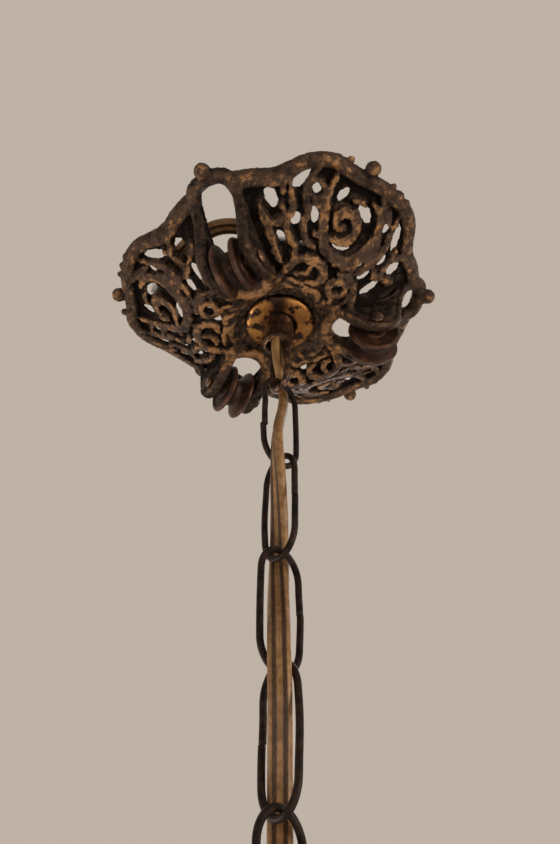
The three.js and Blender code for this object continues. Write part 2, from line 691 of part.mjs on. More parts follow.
const capLow = capTop - capHeight;
const w = brassWall;
const capOuter = capShoulder.map(([inward, down]) => [capRadius - inward, capTop - down]);
const capInner = capOuter.map(([radius, z]) => [radius - w, z - w / 2]).reverse();
lamp.add(piece('socket_cap', turned([
	[nippleRadius + gap, capTop], [nippleRadius + 2.4, capTop], [nippleRadius + 3, capTop - 2],
	...capOuter, [capRadius, capLow], [capRadius - w, capLow], ...capInner,
	[nippleRadius + gap, capTop - 2 - w],
]), 'brass'));

const shellTop = capLow - gap;
const shellLow = shellTop - shellHeight;
lamp.add(piece('socket_shell', turned([
	[capRadius, shellTop], [capRadius + shellBead, shellTop - 1], [capRadius, shellTop - 2.2],
	[capRadius, shellLow + 3], [capRadius + shellBead, shellLow + 1.4], [capRadius, shellLow],
	[capRadius - w, shellLow], [capRadius - w, shellTop],
]), 'brass'));

const linerOuter = capRadius - w - gap;
const linerInner = linerOuter - linerWall;
lamp.add(piece('card_liner', ring(
	linerOuter, linerInner, shellLow + 2, shellTop - 1,
), 'card'));

const bodyRadius = linerInner - bodyClear;
const bodyTop = capLow - capClear;
const bodyLow = bodyTop - bodyHeight;
const sleeveTop = bodyLow - gap;
const sleeveLow = sleeveTop - sleeveHeight;
const terminals = [0, 180].map((a) => a * degree);
const terminalHoles = terminals.map((angle) => (
	disc(terminalShank + gap, bodyTop - terminalLength - 1, bodyTop + 1, 12)
		.translate(terminalReach * Math.cos(angle), terminalReach * Math.sin(angle), 0)
));
lamp.add(piece('socket_body', shaped([
	disc(bodyRadius, bodyLow, bodyTop),
	disc(linerInner - gap, bodyLow + bodyFlange, bodyLow + 2 * bodyFlange),
], terminalHoles), 'porcelain'));

terminals.forEach((angle, i) => {
	const head = bodyTop + gap;
	const screw = piece(`terminal_screw_${i + 1}`, turned([
		[0, bodyTop - terminalLength], [terminalShank, bodyTop - terminalLength + 0.6], [terminalShank, head],
		[terminalRadius, head], [terminalRadius, head + terminalHead - 0.5],
		[terminalRadius - 0.5, head + terminalHead], [0, head + terminalHead],
	], 12), 'brass');
	screw.position.set(terminalReach * Math.cos(angle), terminalReach * Math.sin(angle), 0);
	lamp.add(screw);
});

const sleeveRadius = capScrewRadius + sleeveClear + sleeveWall;
lamp.add(piece('screw_sleeve', turned([
	[sleeveRadius, sleeveTop], [sleeveRadius, sleeveLow], [sleeveRadius - sleeveWall, sleeveLow],
	[sleeveRadius - sleeveWall, sleeveTop - sleeveWall], [8, sleeveTop - sleeveWall], [8, sleeveTop],
]), 'brass'));

const contactLow = sleeveTop - contactHeight;
lamp.add(piece('centre_contact', turned([
	[0, contactLow], [3, contactLow], [3.6, contactLow + 0.6], [3.6, sleeveTop], [0, sleeveTop],
], 16), 'brass'));

// Bulb: contact button, insulator, screw cap, glass, and the mount with its filament.
const buttonLow = contactLow - gap;
const insulatorTop = buttonLow - buttonHeight;
const capScrewTop = insulatorTop - insulatorHeight;
const crownLow = capScrewTop - capScrewCrown;
const capScrewLow = capScrewTop - capScrewLength;
lamp.add(piece('bulb_button', disc(buttonRadius * 0.7, insulatorTop + gap, buttonLow, 16), 'steel'));
lamp.add(piece('bulb_insulator', turned([
	[0, capScrewTop], [9.4, capScrewTop], [buttonRadius, insulatorTop], [0, insulatorTop],
]), 'porcelain'));
lamp.add(piece('bulb_screw_cap', turned([
	[0, capScrewTop - gap], [capScrewRadius - 2.6, capScrewTop - gap], [capScrewRadius, capScrewTop - 3],
	[capScrewRadius, capScrewLow], [capScrewRadius - w, capScrewLow], [capScrewRadius - w, crownLow],
	[0, crownLow],
]), 'brass'));

const glassTop = capScrewLow + glassInCap;
const glassLow = glassTop - bulbLength;
const ballZ = glassLow + bulbRadius;
function bulbOutline(inset) {
	const points = [[bulbNeck - gap - inset, glassTop]];
	const neckZ = glassTop - neckLength;
	points.push([bulbNeck - gap - inset, neckZ]);
	for (let i = 0; i <= 8; i += 1) {
		const angle = (44 - i * 16.75) * degree;
		points.push([(bulbRadius - inset) * Math.cos(angle), ballZ + (bulbRadius - inset) * Math.sin(angle)]);
	}
	points[points.length - 1][0] = 0;
	return points;
}
lamp.add(piece('bulb_glass', turned([...bulbOutline(0).reverse(), ...bulbOutline(bulbWall)]), 'glass'));

const stemTop = crownLow - gap;
const stemLow = glassTop - stemReach;
lamp.add(piece('bulb_stem', turned([
	[0, stemTop], [stemFlare.radius, stemTop], [stemFlare.radius, glassTop - stemFlare.straight],
	[3.4, glassTop - stemFlare.end], [2.2, stemLow + 3], [3, stemLow + 1], [1.6, stemLow], [0, stemLow],
], 12), 'glass'));

function filament() {
	const points = [];
	for (let i = 0; i <= 12; i += 1) {
		const angle = (30 + i * 25) * degree;
		const height = stemLow - filamentDrop + (i % 2) * filamentZigzag;
		points.push([filamentRadius * Math.cos(angle), filamentRadius * Math.sin(angle), height]);
	}
	const leadTop = stemLow - gap - filamentWire;
	points.unshift([leadSpread, leadSpread, leadTop]);
	points.push([leadSpread, -leadSpread, leadTop]);
	return swept(oval(filamentWire, filamentWire, 4), splineRoute(points, new Vector3(0, 0, 1)), 28);
}
lamp.add(piece('bulb_filament', filament(), 'filament'));

// Terminal block on the ceiling, where the cord meets the house wires.
const [blockX, blockY, blockZ] = cordRoute[0];
const blockScrewSides = [blockScrew.side, -blockScrew.side];
const block = shaped([
	new BoxGeometry(blockLength, blockWidth, blockHeight)
		.translate(blockLength / 2 - blockLip, 0, -blockHeight / 2),
], [
	new BoxGeometry(blockMouth, cordWidth + 2 * roughGap, cordThickness + 2 * roughGap)
		.translate(-blockLip, 0, blockZ),
	...blockScrewSides.map((side) => (
		disc(blockScrew.radius + gap, -cutLength / 2, blockScrew.deep - blockHeight, 12)
			.translate(blockScrew.back, side, 0)
	)),
]);
const blockMesh = piece('terminal_block', block, 'porcelain');
blockMesh.position.set(blockX, blockY, 0);
blockMesh.rotation.z = blockYaw * degree;
lamp.add(blockMesh);

blockScrewSides.forEach((side, i) => {
	const holder = new Group();
	holder.position.set(blockX, blockY, 0);
	holder.rotation.z = blockYaw * degree;
	const screwLow = gap - blockHeight;
	const shank = disc(blockScrew.radius, screwLow, screwLow + blockScrew.height, 12);
	const screw = piece(`block_screw_${i + 1}`, shank, 'brass');
	screw.position.set(blockScrew.back, side, 0);
	holder.add(screw);
	lamp.add(holder);
});

export default lamp;
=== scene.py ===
"""A hanging lamp seen from below: an openwork cast canopy with three pulley forks, an oval link chain
with a flat twin cord woven through it, and a brass lampholder with a bulb."""

import json
import math

import bmesh
import bpy
import numpy as np
from mathutils import Matrix, Vector


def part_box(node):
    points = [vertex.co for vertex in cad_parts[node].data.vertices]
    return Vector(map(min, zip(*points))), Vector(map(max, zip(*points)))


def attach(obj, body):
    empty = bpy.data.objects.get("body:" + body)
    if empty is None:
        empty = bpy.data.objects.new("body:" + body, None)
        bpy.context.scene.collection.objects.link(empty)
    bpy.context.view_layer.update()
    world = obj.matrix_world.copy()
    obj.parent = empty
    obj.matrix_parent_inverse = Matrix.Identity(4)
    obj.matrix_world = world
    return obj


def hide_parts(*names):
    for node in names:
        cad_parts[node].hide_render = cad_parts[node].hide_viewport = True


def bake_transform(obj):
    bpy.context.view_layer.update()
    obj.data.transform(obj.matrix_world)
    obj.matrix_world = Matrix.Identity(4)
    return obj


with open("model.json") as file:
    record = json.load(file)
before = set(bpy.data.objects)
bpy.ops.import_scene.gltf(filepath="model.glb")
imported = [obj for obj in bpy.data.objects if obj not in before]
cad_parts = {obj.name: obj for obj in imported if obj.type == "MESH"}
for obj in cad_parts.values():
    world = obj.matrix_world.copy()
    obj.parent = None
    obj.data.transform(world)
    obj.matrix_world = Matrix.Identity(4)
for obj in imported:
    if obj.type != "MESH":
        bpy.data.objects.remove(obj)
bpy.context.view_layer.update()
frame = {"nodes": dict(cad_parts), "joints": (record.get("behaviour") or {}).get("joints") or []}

MM = 0.001
ON_AXIS = 1e-6
FAR = 99.0  # a distance beyond every shape

# The canopy's sizes in millimetres, as on the part. Heights are above the collar's underside.
SECTORS = 3
FIRST_FORK = 242.5
SECTOR = 360 / SECTORS
SEAT_LIFT = 2.9
SEAT_RADIUS = 13
SEAT_BLEND = 7
BOWL_START = 28
BOWL_HEIGHT = 16.8
BOWL_EASE = 0.88
LOBE_RADIUS = 60.5
FORK_LIFT = 3.6
WALL = 2.2
SLOT_HALF = 6
SLOT_START = 19.5
CHEEK_WALL = 4.5
FORK_HALF = SLOT_HALF + CHEEK_WALL
AXLE_REACH = 34.4
AXLE_DEPTH = 5.7
AXLE_RADIUS = 1.5
FORK_REACH = 54.5
FORK_TIP_HEIGHT = 21.4
NECK_RADIUS = 6.5
CLEAR = 0.3

# Sizes of the look only, in millimetres
WEB_LEAST = 0.9
BAR_HALF_DEPTH = 1.45
BAR_ROUNDING = 0.65
RIM_RADIUS = 1.8
LOOP_WIRE = 1.3
TUBE_BORE = 5.3
DARK_SIDE_AZIMUTH = -92  # degrees, where the collar is darkest
DARK_SIDE_REACH = 17  # degrees to either side

LINKS = 5


def span(name):
    """A CAD node's lowest and highest point, in millimetres."""
    return [corner.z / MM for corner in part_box(name)]


COLLAR_Z = span("collar_ring")[0]


# Camera and stage

LIGHTS = [  # name, place in metres, size, power, colour
    ("light_below", (0.1, -0.6, -0.85), 0.9, 2.2, (1.0, 0.93, 0.84)),
    ("light_right", (1.0, -0.5, -0.35), 0.5, 6.5, (1.0, 0.95, 0.9)),
    ("light_left", (-0.9, 0.3, -0.5), 0.6, 5, (1.0, 0.95, 0.9)),
    ("light_behind", (0.3, 0.9, 0.5), 0.8, 2.2, (0.95, 0.97, 1.0)),
]


def aim(made, direction):
    made.rotation_mode = "QUATERNION"
    made.rotation_quaternion = direction.to_track_quat("-Z", "Y")


def make_camera():
    """The photograph's view: from below, looking up along +Y at 42.9 degrees, in a 560 by 844 frame."""
    data = bpy.data.cameras.new("camera")
    data.sensor_width, data.lens = 36, 33.7
    data.clip_start, data.clip_end = 0.01, 50
    camera = bpy.data.objects.new("camera", data)
    bpy.context.scene.collection.objects.link(camera)
    camera.location = (0, -0.1914, -0.2509)
    aim(camera, Vector((0, 0.7329, 0.6804)))
    bpy.context.scene.camera = camera


def area_light(name, place, size, power, colour):
    """A round lamp that shines at the object's upper part."""
    data = bpy.data.lights.new(name, "AREA")
    data.shape, data.size, data.energy, data.color = "DISK", size, power, colour
    light = bpy.data.objects.new(name, data)
    bpy.context.scene.collection.objects.link(light)
    light.location = place
    aim(light, Vector((0, 0, -0.05)) - Vector(place))
    # A lamp seen through the bulb would be a plain white disc.
    light.visible_transmission = False


def make_floor():
    half, below = 8, -1.1
    mesh = bpy.data.meshes.new("floor")
    corners = [(x, y, below) for x, y in ((-half, -half), (half, -half), (half, half), (-half, half))]
    mesh.from_pydata(corners, [], [(0, 1, 2, 3)])
    paint, tree, shader = material("floor_paint", 0.0, 0.8)
    feed(tree, shader, {"Base Color": (0.74, 0.71, 0.68)})
    new_object("floor", mesh, paint)


def make_world():
    """A pale backdrop for the camera, in metal and through glass, and a plain dim light on the object."""
    world = bpy.data.worlds.new("world")
    bpy.context.scene.world = world
    world.use_nodes = True
    tree = world.node_tree
    tree.nodes.clear()
    rays = tree.nodes.new("ShaderNodeLightPath").outputs
    seen = rays["Is Camera Ray"]
    for ray in ("Is Glossy Ray", "Is Transmission Ray"):
        seen = maths(tree, "MAXIMUM", seen, rays[ray])
    light = node(tree, "ShaderNodeBackground", {"Color": (0.95, 0.93, 0.9), "Strength": 0.42})
    backdrop = node(tree, "ShaderNodeBackground", {"Color": (0.52, 0.445, 0.38)})
    mix = node(tree, "ShaderNodeMixShader", {"Fac": seen, 1: light.outputs[0], 2: backdrop.outputs[0]})
    node(tree, "ShaderNodeOutputWorld", {"Surface": mix.outputs[0]})


# Materials

def rgba(colour):
    """A colour with its alpha, from three values, or from one for a grey."""
    return (*colour, 1) if isinstance(colour, tuple) else (colour, colour, colour, 1)


def feed(tree, made, values):
    """Sets a node's inputs to numbers or colours, or links them to outputs of other nodes."""
    for name, value in values.items():
        socket = made.inputs[name]
        if isinstance(value, bpy.types.NodeSocket):
            tree.links.new(value, socket)
        else:
            socket.default_value = rgba(value) if socket.type == "RGBA" else value


def node(tree, kind, values, **settings):
    made = tree.nodes.new(kind)
    for name, value in settings.items():
        setattr(made, name, value)
    feed(tree, made, values)
    return made


def material(name, metallic=0.0, roughness=0.5):
    """A new material with its nodes and its shader."""
    paint = bpy.data.materials.new(name)
    paint.use_nodes = True
    tree = paint.node_tree
    shader = tree.nodes["Principled BSDF"]
    feed(tree, shader, {"Metallic": metallic, "Roughness": roughness})
    return paint, tree, shader


def noise(tree, scale, detail=4.0, rough=0.55, stretch=None):
    """A noise texture in object space, with its scale in features per metre."""
    place = tree.nodes.new("ShaderNodeTexCoord").outputs["Object"]
    if stretch:
        place = node(tree, "ShaderNodeMapping", {"Vector": place, "Scale": stretch}).outputs["Vector"]
    values = {"Vector": place, "Scale": scale, "Detail": detail, "Roughness": rough}
    return node(tree, "ShaderNodeTexNoise", values).outputs["Fac"]


def ramp(tree, source, *stops):
    """A colour ramp. Each stop is a place and a colour, or a place and a grey."""
    made = node(tree, "ShaderNodeValToRGB", {"Fac": source})
    made.color_ramp.interpolation = "EASE"
    elements = made.color_ramp.elements
    while len(elements) < len(stops):
        elements.new(0.5)
    for element, (place, colour) in zip(elements, stops):
        element.position = place
        element.color = rgba(colour)
    return made.outputs["Color"]


def maths(tree, operation, *values):
    return node(tree, "ShaderNodeMath", dict(enumerate(values)), operation=operation).outputs[0]


def summed(tree, *terms):
    """The sum of outputs, each multiplied by its share."""
    total, *rest = [maths(tree, "MULTIPLY", source, share) for source, share in terms]
    for part in rest:
        total = maths(tree, "ADD", total, part)
    return total


def blended(tree, share, a, b, kind="MIX"):
    """A mix of two colours, which are inputs 6 and 7 and output 2 of the node."""
    return node(tree, "ShaderNodeMix", {0: share, 6: a, 7: b}, data_type="RGBA", blend_type=kind).outputs[2]


def bump(tree, shader, height, depth, strength):
    """Relief from a height, with its depth in millimetres."""
    made = node(tree, "ShaderNodeBump", {"Height": height, "Distance": depth * MM, "Strength": strength})
    feed(tree, shader, {"Normal": made.outputs["Normal"]})


def attribute(tree, name):
    return node(tree, "ShaderNodeAttribute", {}, attribute_name=name).outputs["Fac"]


def aged_casting():
    """Old cast bronze: nearly black in the recesses, brown between, worn golden on the high spots, and a painted
    shadow round the collar.
    """
    paint, tree, shader = material("aged_casting")
    broad, patch, fine = noise(tree, 150, 3), noise(tree, 380, 3, 0.5), noise(tree, 1100, 3, 0.6)
    # The bar map is darkened round the collar by a painted shadow.
    shapes = [(attribute(tree, name), share) for name, share in (("open", 0.5), ("lift", 0.2), ("bar", 0.36))]
    mottle = [(maths(tree, "SUBTRACT", source, 0.5), share)
              for source, share in ((broad, 0.6), (patch, 0.75), (fine, 0.25))]
    worn = summed(tree, *shapes, *mottle)
    colour = ramp(
        tree, worn, (0.34, (0.008, 0.005, 0.0034)), (0.48, (0.019, 0.0115, 0.0077)),
        (0.6, (0.044, 0.025, 0.0155)), (0.82, (0.098, 0.054, 0.031)), (1.0, (0.38, 0.19, 0.075)))
    stains = ramp(tree, noise(tree, 290, 3), (0.33, 0.45), (0.43, 1))
    feed(tree, shader, {
        "Base Color": blended(tree, 1.0, colour, stains, "MULTIPLY"),
        "Roughness": ramp(tree, worn, (0.35, 0.8), (0.9, 0.33)),
        "Specular IOR Level": ramp(tree, worn, (0.45, 0.08), (0.75, 0.5)),
        "Metallic": ramp(tree, worn, (0.35, 0.1), (0.8, 0.75)),
    })
    bump(tree, shader, summed(tree, (noise(tree, 900, 5, 0.7), 1.0), (patch, 1.6)), 0.8, 0.9)
    return paint


def aged_metal(name, dark, middle, bright, metallic, rough, scale, specks=0.0, shine=0.5):
    """A patinated metal: three colours by wear, worn edges, optional dark specks, and a darker side where a mesh
    marks one.
    """
    paint, tree, shader = material(name, metallic)
    pointiness = tree.nodes.new("ShaderNodeNewGeometry").outputs["Pointiness"]
    edge = ramp(tree, pointiness, (0.49, 0), (0.56, 1))
    broad, fine = noise(tree, scale), noise(tree, scale * 6, 5, 0.65)
    worn = summed(tree, (broad, 0.75), (fine, 0.35), (edge, 0.22))
    colour = ramp(tree, worn, (0.38, dark), (0.56, middle), (0.82, bright))
    if specks:
        spots = ramp(tree, noise(tree, scale * 2, 4, 0.65), (0.4, 1), (0.5, 0))
        # A mesh may mark a side that is made darker, as the collar does.
        spots = maths(tree, "MAXIMUM", spots, attribute(tree, "dark_side"))
        colour = blended(tree, maths(tree, "MULTIPLY", spots, specks), colour, dark)
    feed(tree, shader, {
        "Base Color": colour,
        "Roughness": ramp(tree, worn, (0.35, rough[0]), (0.8, rough[1])),
        "Specular IOR Level": shine,
    })
    bump(tree, shader, maths(tree, "ADD", fine, broad), 0.12, 0.6)
    return paint


def plastic_cord():
    """Clear gold plastic over two stranded copper conductors, which show through as darker bands."""
    paint, tree, shader = material("gold_cord", 0.0, 0.42)
    across, along = attribute(tree, "across"), attribute(tree, "along")
    offset = maths(tree, "ABSOLUTE", maths(tree, "SUBTRACT", maths(tree, "ABSOLUTE", across), 0.43))
    core = ramp(tree, offset, (0.12, 1), (0.25, 0))
    lay = summed(tree, (along, 2300.0), (across, 22.0))
    strand = maths(tree, "MULTIPLY", maths(tree, "ADD", maths(tree, "SINE", lay), 1.0), 0.5)
    copper = blended(tree, strand, (0.042, 0.019, 0.009), (0.085, 0.038, 0.015))
    clear = ramp(tree, noise(tree, 260, 3), (0.3, (0.25, 0.122, 0.043)), (0.7, (0.36, 0.19, 0.075)))
    dirt = ramp(tree, noise(tree, 700, 4, 0.6), (0.36, 0.72), (0.6, 1))
    feed(tree, shader, {
        "Base Color": blended(tree, 1.0, blended(tree, core, clear, copper), dirt, "MULTIPLY"),
        "Specular IOR Level": 0.3, "Coat Weight": 0.05, "Coat Roughness": 0.3,
    })
    bump(tree, shader, noise(tree, 500), 0.1, 0.5)
    return paint


def glaze():
    paint, tree, shader = material("white_glaze", 0.0, 0.18)
    colour = ramp(tree, noise(tree, 180), (0.35, (0.74, 0.71, 0.64)), (0.65, (0.83, 0.81, 0.76)))
    specks = ramp(tree, noise(tree, 2400, 2), (0.7, 0), (0.78, 1))
    colour = blended(tree, maths(tree, "MULTIPLY", specks, 0.5), colour, (0.3, 0.24, 0.17))
    feed(tree, shader, {"Base Color": colour, "Coat Weight": 0.6, "Coat Roughness": 0.05})
    bump(tree, shader, noise(tree, 240, 3), 0.15, 0.35)
    return paint


def fibre_card():
    paint, tree, shader = material("fibre_card", 0.0, 0.85)
    fibre = noise(tree, 1800, 6, 0.7, (1, 1, 0.25))
    colour = ramp(tree, fibre, (0.3, (0.06, 0.038, 0.02)), (0.7, (0.15, 0.1, 0.058)))
    feed(tree, shader, {"Base Color": colour})
    bump(tree, shader, fibre, 0.08, 0.6)
    return paint


def clear_glass():
    paint, tree, shader = material("clear_glass", 0.0, 0.02)
    tint = ramp(tree, noise(tree, 40, 2), (0.3, (0.93, 0.94, 0.94)), (0.7, (0.98, 0.98, 0.97)))
    feed(tree, shader, {"Base Color": tint, "Transmission Weight": 1.0, "IOR": 1.45})
    return paint


# Meshes

def new_object(name, mesh, paint):
    made = bpy.data.objects.new(name, mesh)
    bpy.context.scene.collection.objects.link(made)
    mesh.materials.append(paint)
    return made


def build(name, points, faces, paint):
    """A smooth object from points in millimetres."""
    mesh = bpy.data.meshes.new(name)
    mesh.from_pydata([tuple(p) for p in np.asarray(points, float) * MM], [], faces)
    mesh.validate()
    mesh.shade_smooth()
    return new_object(name, mesh, paint)


def finished(made, body, replaced):
    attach(made, body)
    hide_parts(replaced)


def grid_faces(rows, columns, wrap=False):
    """Quads between rows of points that each close to a ring. The last row joins the first if wrap."""
    faces = []
    for i in range(rows if wrap else rows - 1):
        row, after = i * columns, (i + 1) % rows * columns
        faces += [(row + j, row + (j + 1) % columns, after + (j + 1) % columns, after + j) for j in range(columns)]
    return faces


def rounded(outline, radius):
    """An outline of [radius, z] pairs with its corners rounded, apart from ends on the axis."""
    points = [np.array(p, float) for p in outline]
    steps, last = 3, len(points) - 1
    result = []
    for k, corner in enumerate(points):
        if k in (0, last) and corner[0] < ON_AXIS:
            result.append(corner)
            continue
        to_before, to_after = points[k - 1] - corner, points[(k + 1) % len(points)] - corner
        lengths = np.linalg.norm(to_before), np.linalg.norm(to_after)
        cut = min(radius, lengths[0] * 0.45, lengths[1] * 0.45)
        start, end = corner + to_before / lengths[0] * cut, corner + to_after / lengths[1] * cut
        for i in range(steps + 1):
            t = i / steps
            result.append((1 - t) ** 2 * start + 2 * t * (1 - t) * corner + t * t * end)
    return result


def revolved(outline, sides, ripple=None):
    """Points and faces of a turned piece. ripple(angle, radius, z) may add to the radius."""
    on_axis = outline[0][0] < ON_AXIS and outline[-1][0] < ON_AXIS
    points = []
    for radius, z in outline:
        for j in range(sides):
            angle = 2 * math.pi * j / sides
            r = radius + (ripple(angle, radius, z) if ripple and radius > ON_AXIS else 0)
            points.append((r * math.cos(angle), r * math.sin(angle), z))
    rows = len(outline)
    faces = [face[::-1] for face in grid_faces(rows, sides, wrap=not on_axis)]
    if on_axis:
        faces = faces[sides:-sides]
        tip, last_ring = len(points), (rows - 2) * sides
        points += [(0, 0, outline[0][1]), (0, 0, outline[-1][1])]
        for j in range(sides):
            k = (j + 1) % sides
            faces += [(tip, sides + k, sides + j), (tip + 1, last_ring + j, last_ring + k)]
    return points, faces


def face_outwards(made):
    """Turns the faces of a closed mesh outwards and drops loose points."""
    work = bmesh.new()
    work.from_mesh(made.data)
    bmesh.ops.delete(work, geom=[v for v in work.verts if not v.link_faces], context="VERTS")
    bmesh.ops.recalc_face_normals(work, faces=work.faces)
    work.to_mesh(made.data)
    work.free()
    made.data.shade_smooth()
    return made


def turned(name, outline, paint, sides, corner, ripple=None, matrix=None):
    """A turned piece, with its corners rounded to that radius."""
    points, faces = revolved(rounded(outline, corner), sides, ripple)
    made = build(name, points, faces, paint)
    if matrix:
        made.data.transform(matrix)
    return face_outwards(made)


def lattice(outline, step):
    """An outline with its long runs divided. It is a closed one unless it starts on the axis."""
    closed = outline[0][0] > ON_AXIS
    result = []
    for a, b in zip(outline, outline[1:] + (outline[:1] if closed else [])):
        count = max(1, round(math.dist(a, b) / step))
        result += [tuple(np.array(a) + (np.array(b) - np.array(a)) * i / count) for i in range(count)]
    return result if closed else result + [tuple(outline[-1])]


def threaded(name, outline, paint, sides, step, ripple):
    """A turned piece divided finely enough for a thread's ripple."""
    points, faces = revolved(lattice(outline, step), sides, ripple)
    return face_outwards(build(name, points, faces, paint))


def thread(pitch, depth, least_radius, low=-math.inf, high=math.inf):
    """A thread's ripple, on the outer side and between two heights only."""
    def ripple(angle, radius, z):
        if not (radius > least_radius and low < z < high):
            return 0
        return depth * (0.5 + 0.5 * math.cos(2 * math.pi * z / pitch - angle)) - depth
    return ripple


def at(height, outline, radius=0):
    """An outline moved up by a height and out by a radius."""
    return [(radius + r, height + z) for r, z in outline]


def mirrored(outline):
    """An outline from the underside up, mirrored to its upper half."""
    return [(r, -z) for r, z in reversed(outline)]


def between(t, start, end, a, b):
    """The value at t of a line that is a at start and b at end."""
    return (end - t) / (end - start) * a + (t - start) / (end - start) * b


def catmull(points, per_span):
    """A centripetal Catmull-Rom curve through the points, each of which may carry extra values."""
    p = [np.array(q, float) for q in points]
    p = [2 * p[0] - p[1]] + p + [2 * p[-1] - p[-2]]
    result = []
    for a, b, c, d in zip(p, p[1:], p[2:], p[3:]):
        times = [0.0]
        for start, end in ((a, b), (b, c), (c, d)):
            times.append(times[-1] + max(np.linalg.norm((end - start)[:3]), 1e-6) ** 0.5)
        t0, t1, t2, t3 = times
        for i in range(per_span):
            t = t1 + (t2 - t1) * i / per_span
            ab, bc, cd = between(t, t0, t1, a, b), between(t, t1, t2, b, c), between(t, t2, t3, c, d)
            result.append(between(t, t1, t2, between(t, t0, t2, ab, bc), between(t, t1, t3, bc, cd)))
    result.append(p[-2])
    return np.array(result)


def swept(path, wide_sides, section, caps=True):
    """Points and faces of a section carried along a path, with its wide direction at each point."""
    path = np.asarray(path, float)
    tangents = np.gradient(path, axis=0)
    tangents /= np.linalg.norm(tangents, axis=1)[:, None]
    count = len(section)
    points = []
    for place, tangent, wide in zip(path, tangents, wide_sides):
        thin = np.cross(tangent, wide)
        thin /= np.linalg.norm(thin)
        flat_side = np.cross(thin, tangent)
        points += [place + flat_side * u + thin * v for u, v in section]
    faces = grid_faces(len(path), count)
    if caps:
        faces += [tuple(reversed(range(count))), tuple(range(len(points) - count, len(points)))]
    return points, faces


def circle(radius, sides):
    angles = [2 * math.pi * k / sides for k in range(sides)]
    return [(radius * math.cos(a), radius * math.sin(a)) for a in angles]


# Solid fields, for cast pieces

def ease(t):
    s = np.clip(t, 0, 1)
    return s * s * (3 - 2 * s)


def smooth_min(a, b, k):
    h = np.clip(0.5 + 0.5 * (b - a) / k, 0, 1)
    return b + (a - b) * h - k * h * (1 - h)


def smooth_max(a, b, k):
    return -smooth_min(-a, -b, k)


def rounded_meet(a, b, radius):
    """The meeting of two fields with an edge of that radius."""
    a, b = a + radius, b + radius
    return np.hypot(np.maximum(a, 0), np.maximum(b, 0)) + np.minimum(np.maximum(a, b), 0) - radius


def ball_reach(place, centre, radius):
    """The distance to a ball from places given as their coordinates."""
    return np.sqrt(sum((x - c) ** 2 for x, c in zip(place, centre))) - radius


def segment_reach(place, a, b):
    """The distance to the segment from a to b, and the share of the way along it to its nearest point."""
    steps = [end - start for start, end in zip(a, b)]
    along = sum((x - start) * d for x, start, d in zip(place, a, steps))
    share = np.clip(along / max(sum(d * d for d in steps), 1e-9), 0, 1)
    return np.sqrt(sum((x - start - share * d) ** 2 for x, start, d in zip(place, a, steps))), share


def polygon_reach(place, outline):
    """Signed distance to a closed polygon, negative inside."""
    x, y = place
    best = np.full(x.shape, FAR)
    inside = np.zeros(x.shape, bool)
    for a, b in zip(outline, np.roll(outline, -1, 0)):
        best = np.minimum(best, segment_reach(place, a, b)[0])
        crosses = (a[1] > y) != (b[1] > y)
        inside ^= crosses & (x < a[0] + (y - a[1]) * (b[0] - a[0]) / ((b[1] - a[1]) or 1e-9))
    return np.where(inside, -best, best)


def skin_of(field, corner, step):
    """The surface where a field crosses zero: one point in each crossed cell, and quads between them."""
    inside = field < 0
    count = np.zeros([n - 1 for n in field.shape], np.int8)
    corners = [(i, j, k) for i in (0, 1) for j in (0, 1) for k in (0, 1)]
    nx, ny, nz = count.shape
    for i, j, k in corners:
        count += inside[i:i + nx, j:j + ny, k:k + nz]
    cells = np.argwhere((count > 0) & (count < 8))
    index = np.full(count.shape, -1, np.int32)
    index[tuple(cells.T)] = np.arange(len(cells))
    total, hits = np.zeros((len(cells), 3)), np.zeros(len(cells))
    edges = [(a, axis) for a in corners for axis in range(3) if not a[axis]]
    for a, axis in edges:
        b = tuple(1 if n == axis else a[n] for n in range(3))
        fa = field[tuple((cells + a).T)]
        fb = field[tuple((cells + b).T)]
        cross = (fa < 0) != (fb < 0)
        place = np.tile(np.array(a, float), (cross.sum(), 1))
        place[:, axis] = fa[cross] / (fa[cross] - fb[cross])
        total[cross] += place
        hits[cross] += 1
    points = (cells + total / hits[:, None]) * step + np.array(corner)
    faces = []
    for axis in range(3):
        low, high = [slice(None)] * 3, [slice(None)] * 3
        low[axis], high[axis] = slice(0, -1), slice(1, None)
        a, b = inside[tuple(low)], inside[tuple(high)]
        where = np.argwhere(a != b)
        sides = [(axis + 1) % 3, (axis + 2) % 3]
        limits = np.array(field.shape)[sides] - 1
        where = where[np.all((where[:, sides] > 0) & (where[:, sides] < limits), axis=1)]
        u, v = np.eye(3, dtype=int)[sides]
        quad = np.stack([index[tuple((where - off).T)] for off in (0 * u, u, u + v, v)], 1)
        leaves = a[tuple(where.T)]
        quad[~leaves] = quad[~leaves][:, ::-1]
        faces.append(quad)
    return points, np.concatenate(faces)


def blurred(solid, reach):
    """The share of solid in the box of that many cells round each cell, blurred twice."""
    share = solid.astype(np.float32)
    for _ in range(2):
        for axis in range(3):
            padded = np.concatenate([np.zeros_like(share.take([0], axis)), np.cumsum(share, axis)], axis)
            size = share.shape[axis]
            high = np.clip(np.arange(size) + reach + 1, 0, size)
            low = np.clip(np.arange(size) - reach, 0, size)
            share = (padded.take(high, axis) - padded.take(low, axis)) / (2 * reach + 1)
    return share


def fast_mesh(name, points, quads):
    mesh = bpy.data.meshes.new(name)
    mesh.vertices.add(len(points))
    mesh.vertices.foreach_set("co", (points * MM).astype(np.float32).ravel())
    mesh.loops.add(quads.size)
    mesh.loops.foreach_set("vertex_index", quads.astype(np.int32).ravel())
    mesh.polygons.add(len(quads))
    mesh.polygons.foreach_set("loop_start", np.arange(0, quads.size, 4, dtype=np.int32))
    mesh.polygons.foreach_set("loop_total", np.full(len(quads), 4, np.int32))
    mesh.update(calc_edges=True)
    mesh.validate()
    mesh.shade_smooth()
    return mesh


def set_attribute(mesh, name, values):
    made = mesh.attributes.new(name, "FLOAT", "POINT")
    made.data.foreach_set("value", np.asarray(values, np.float32))


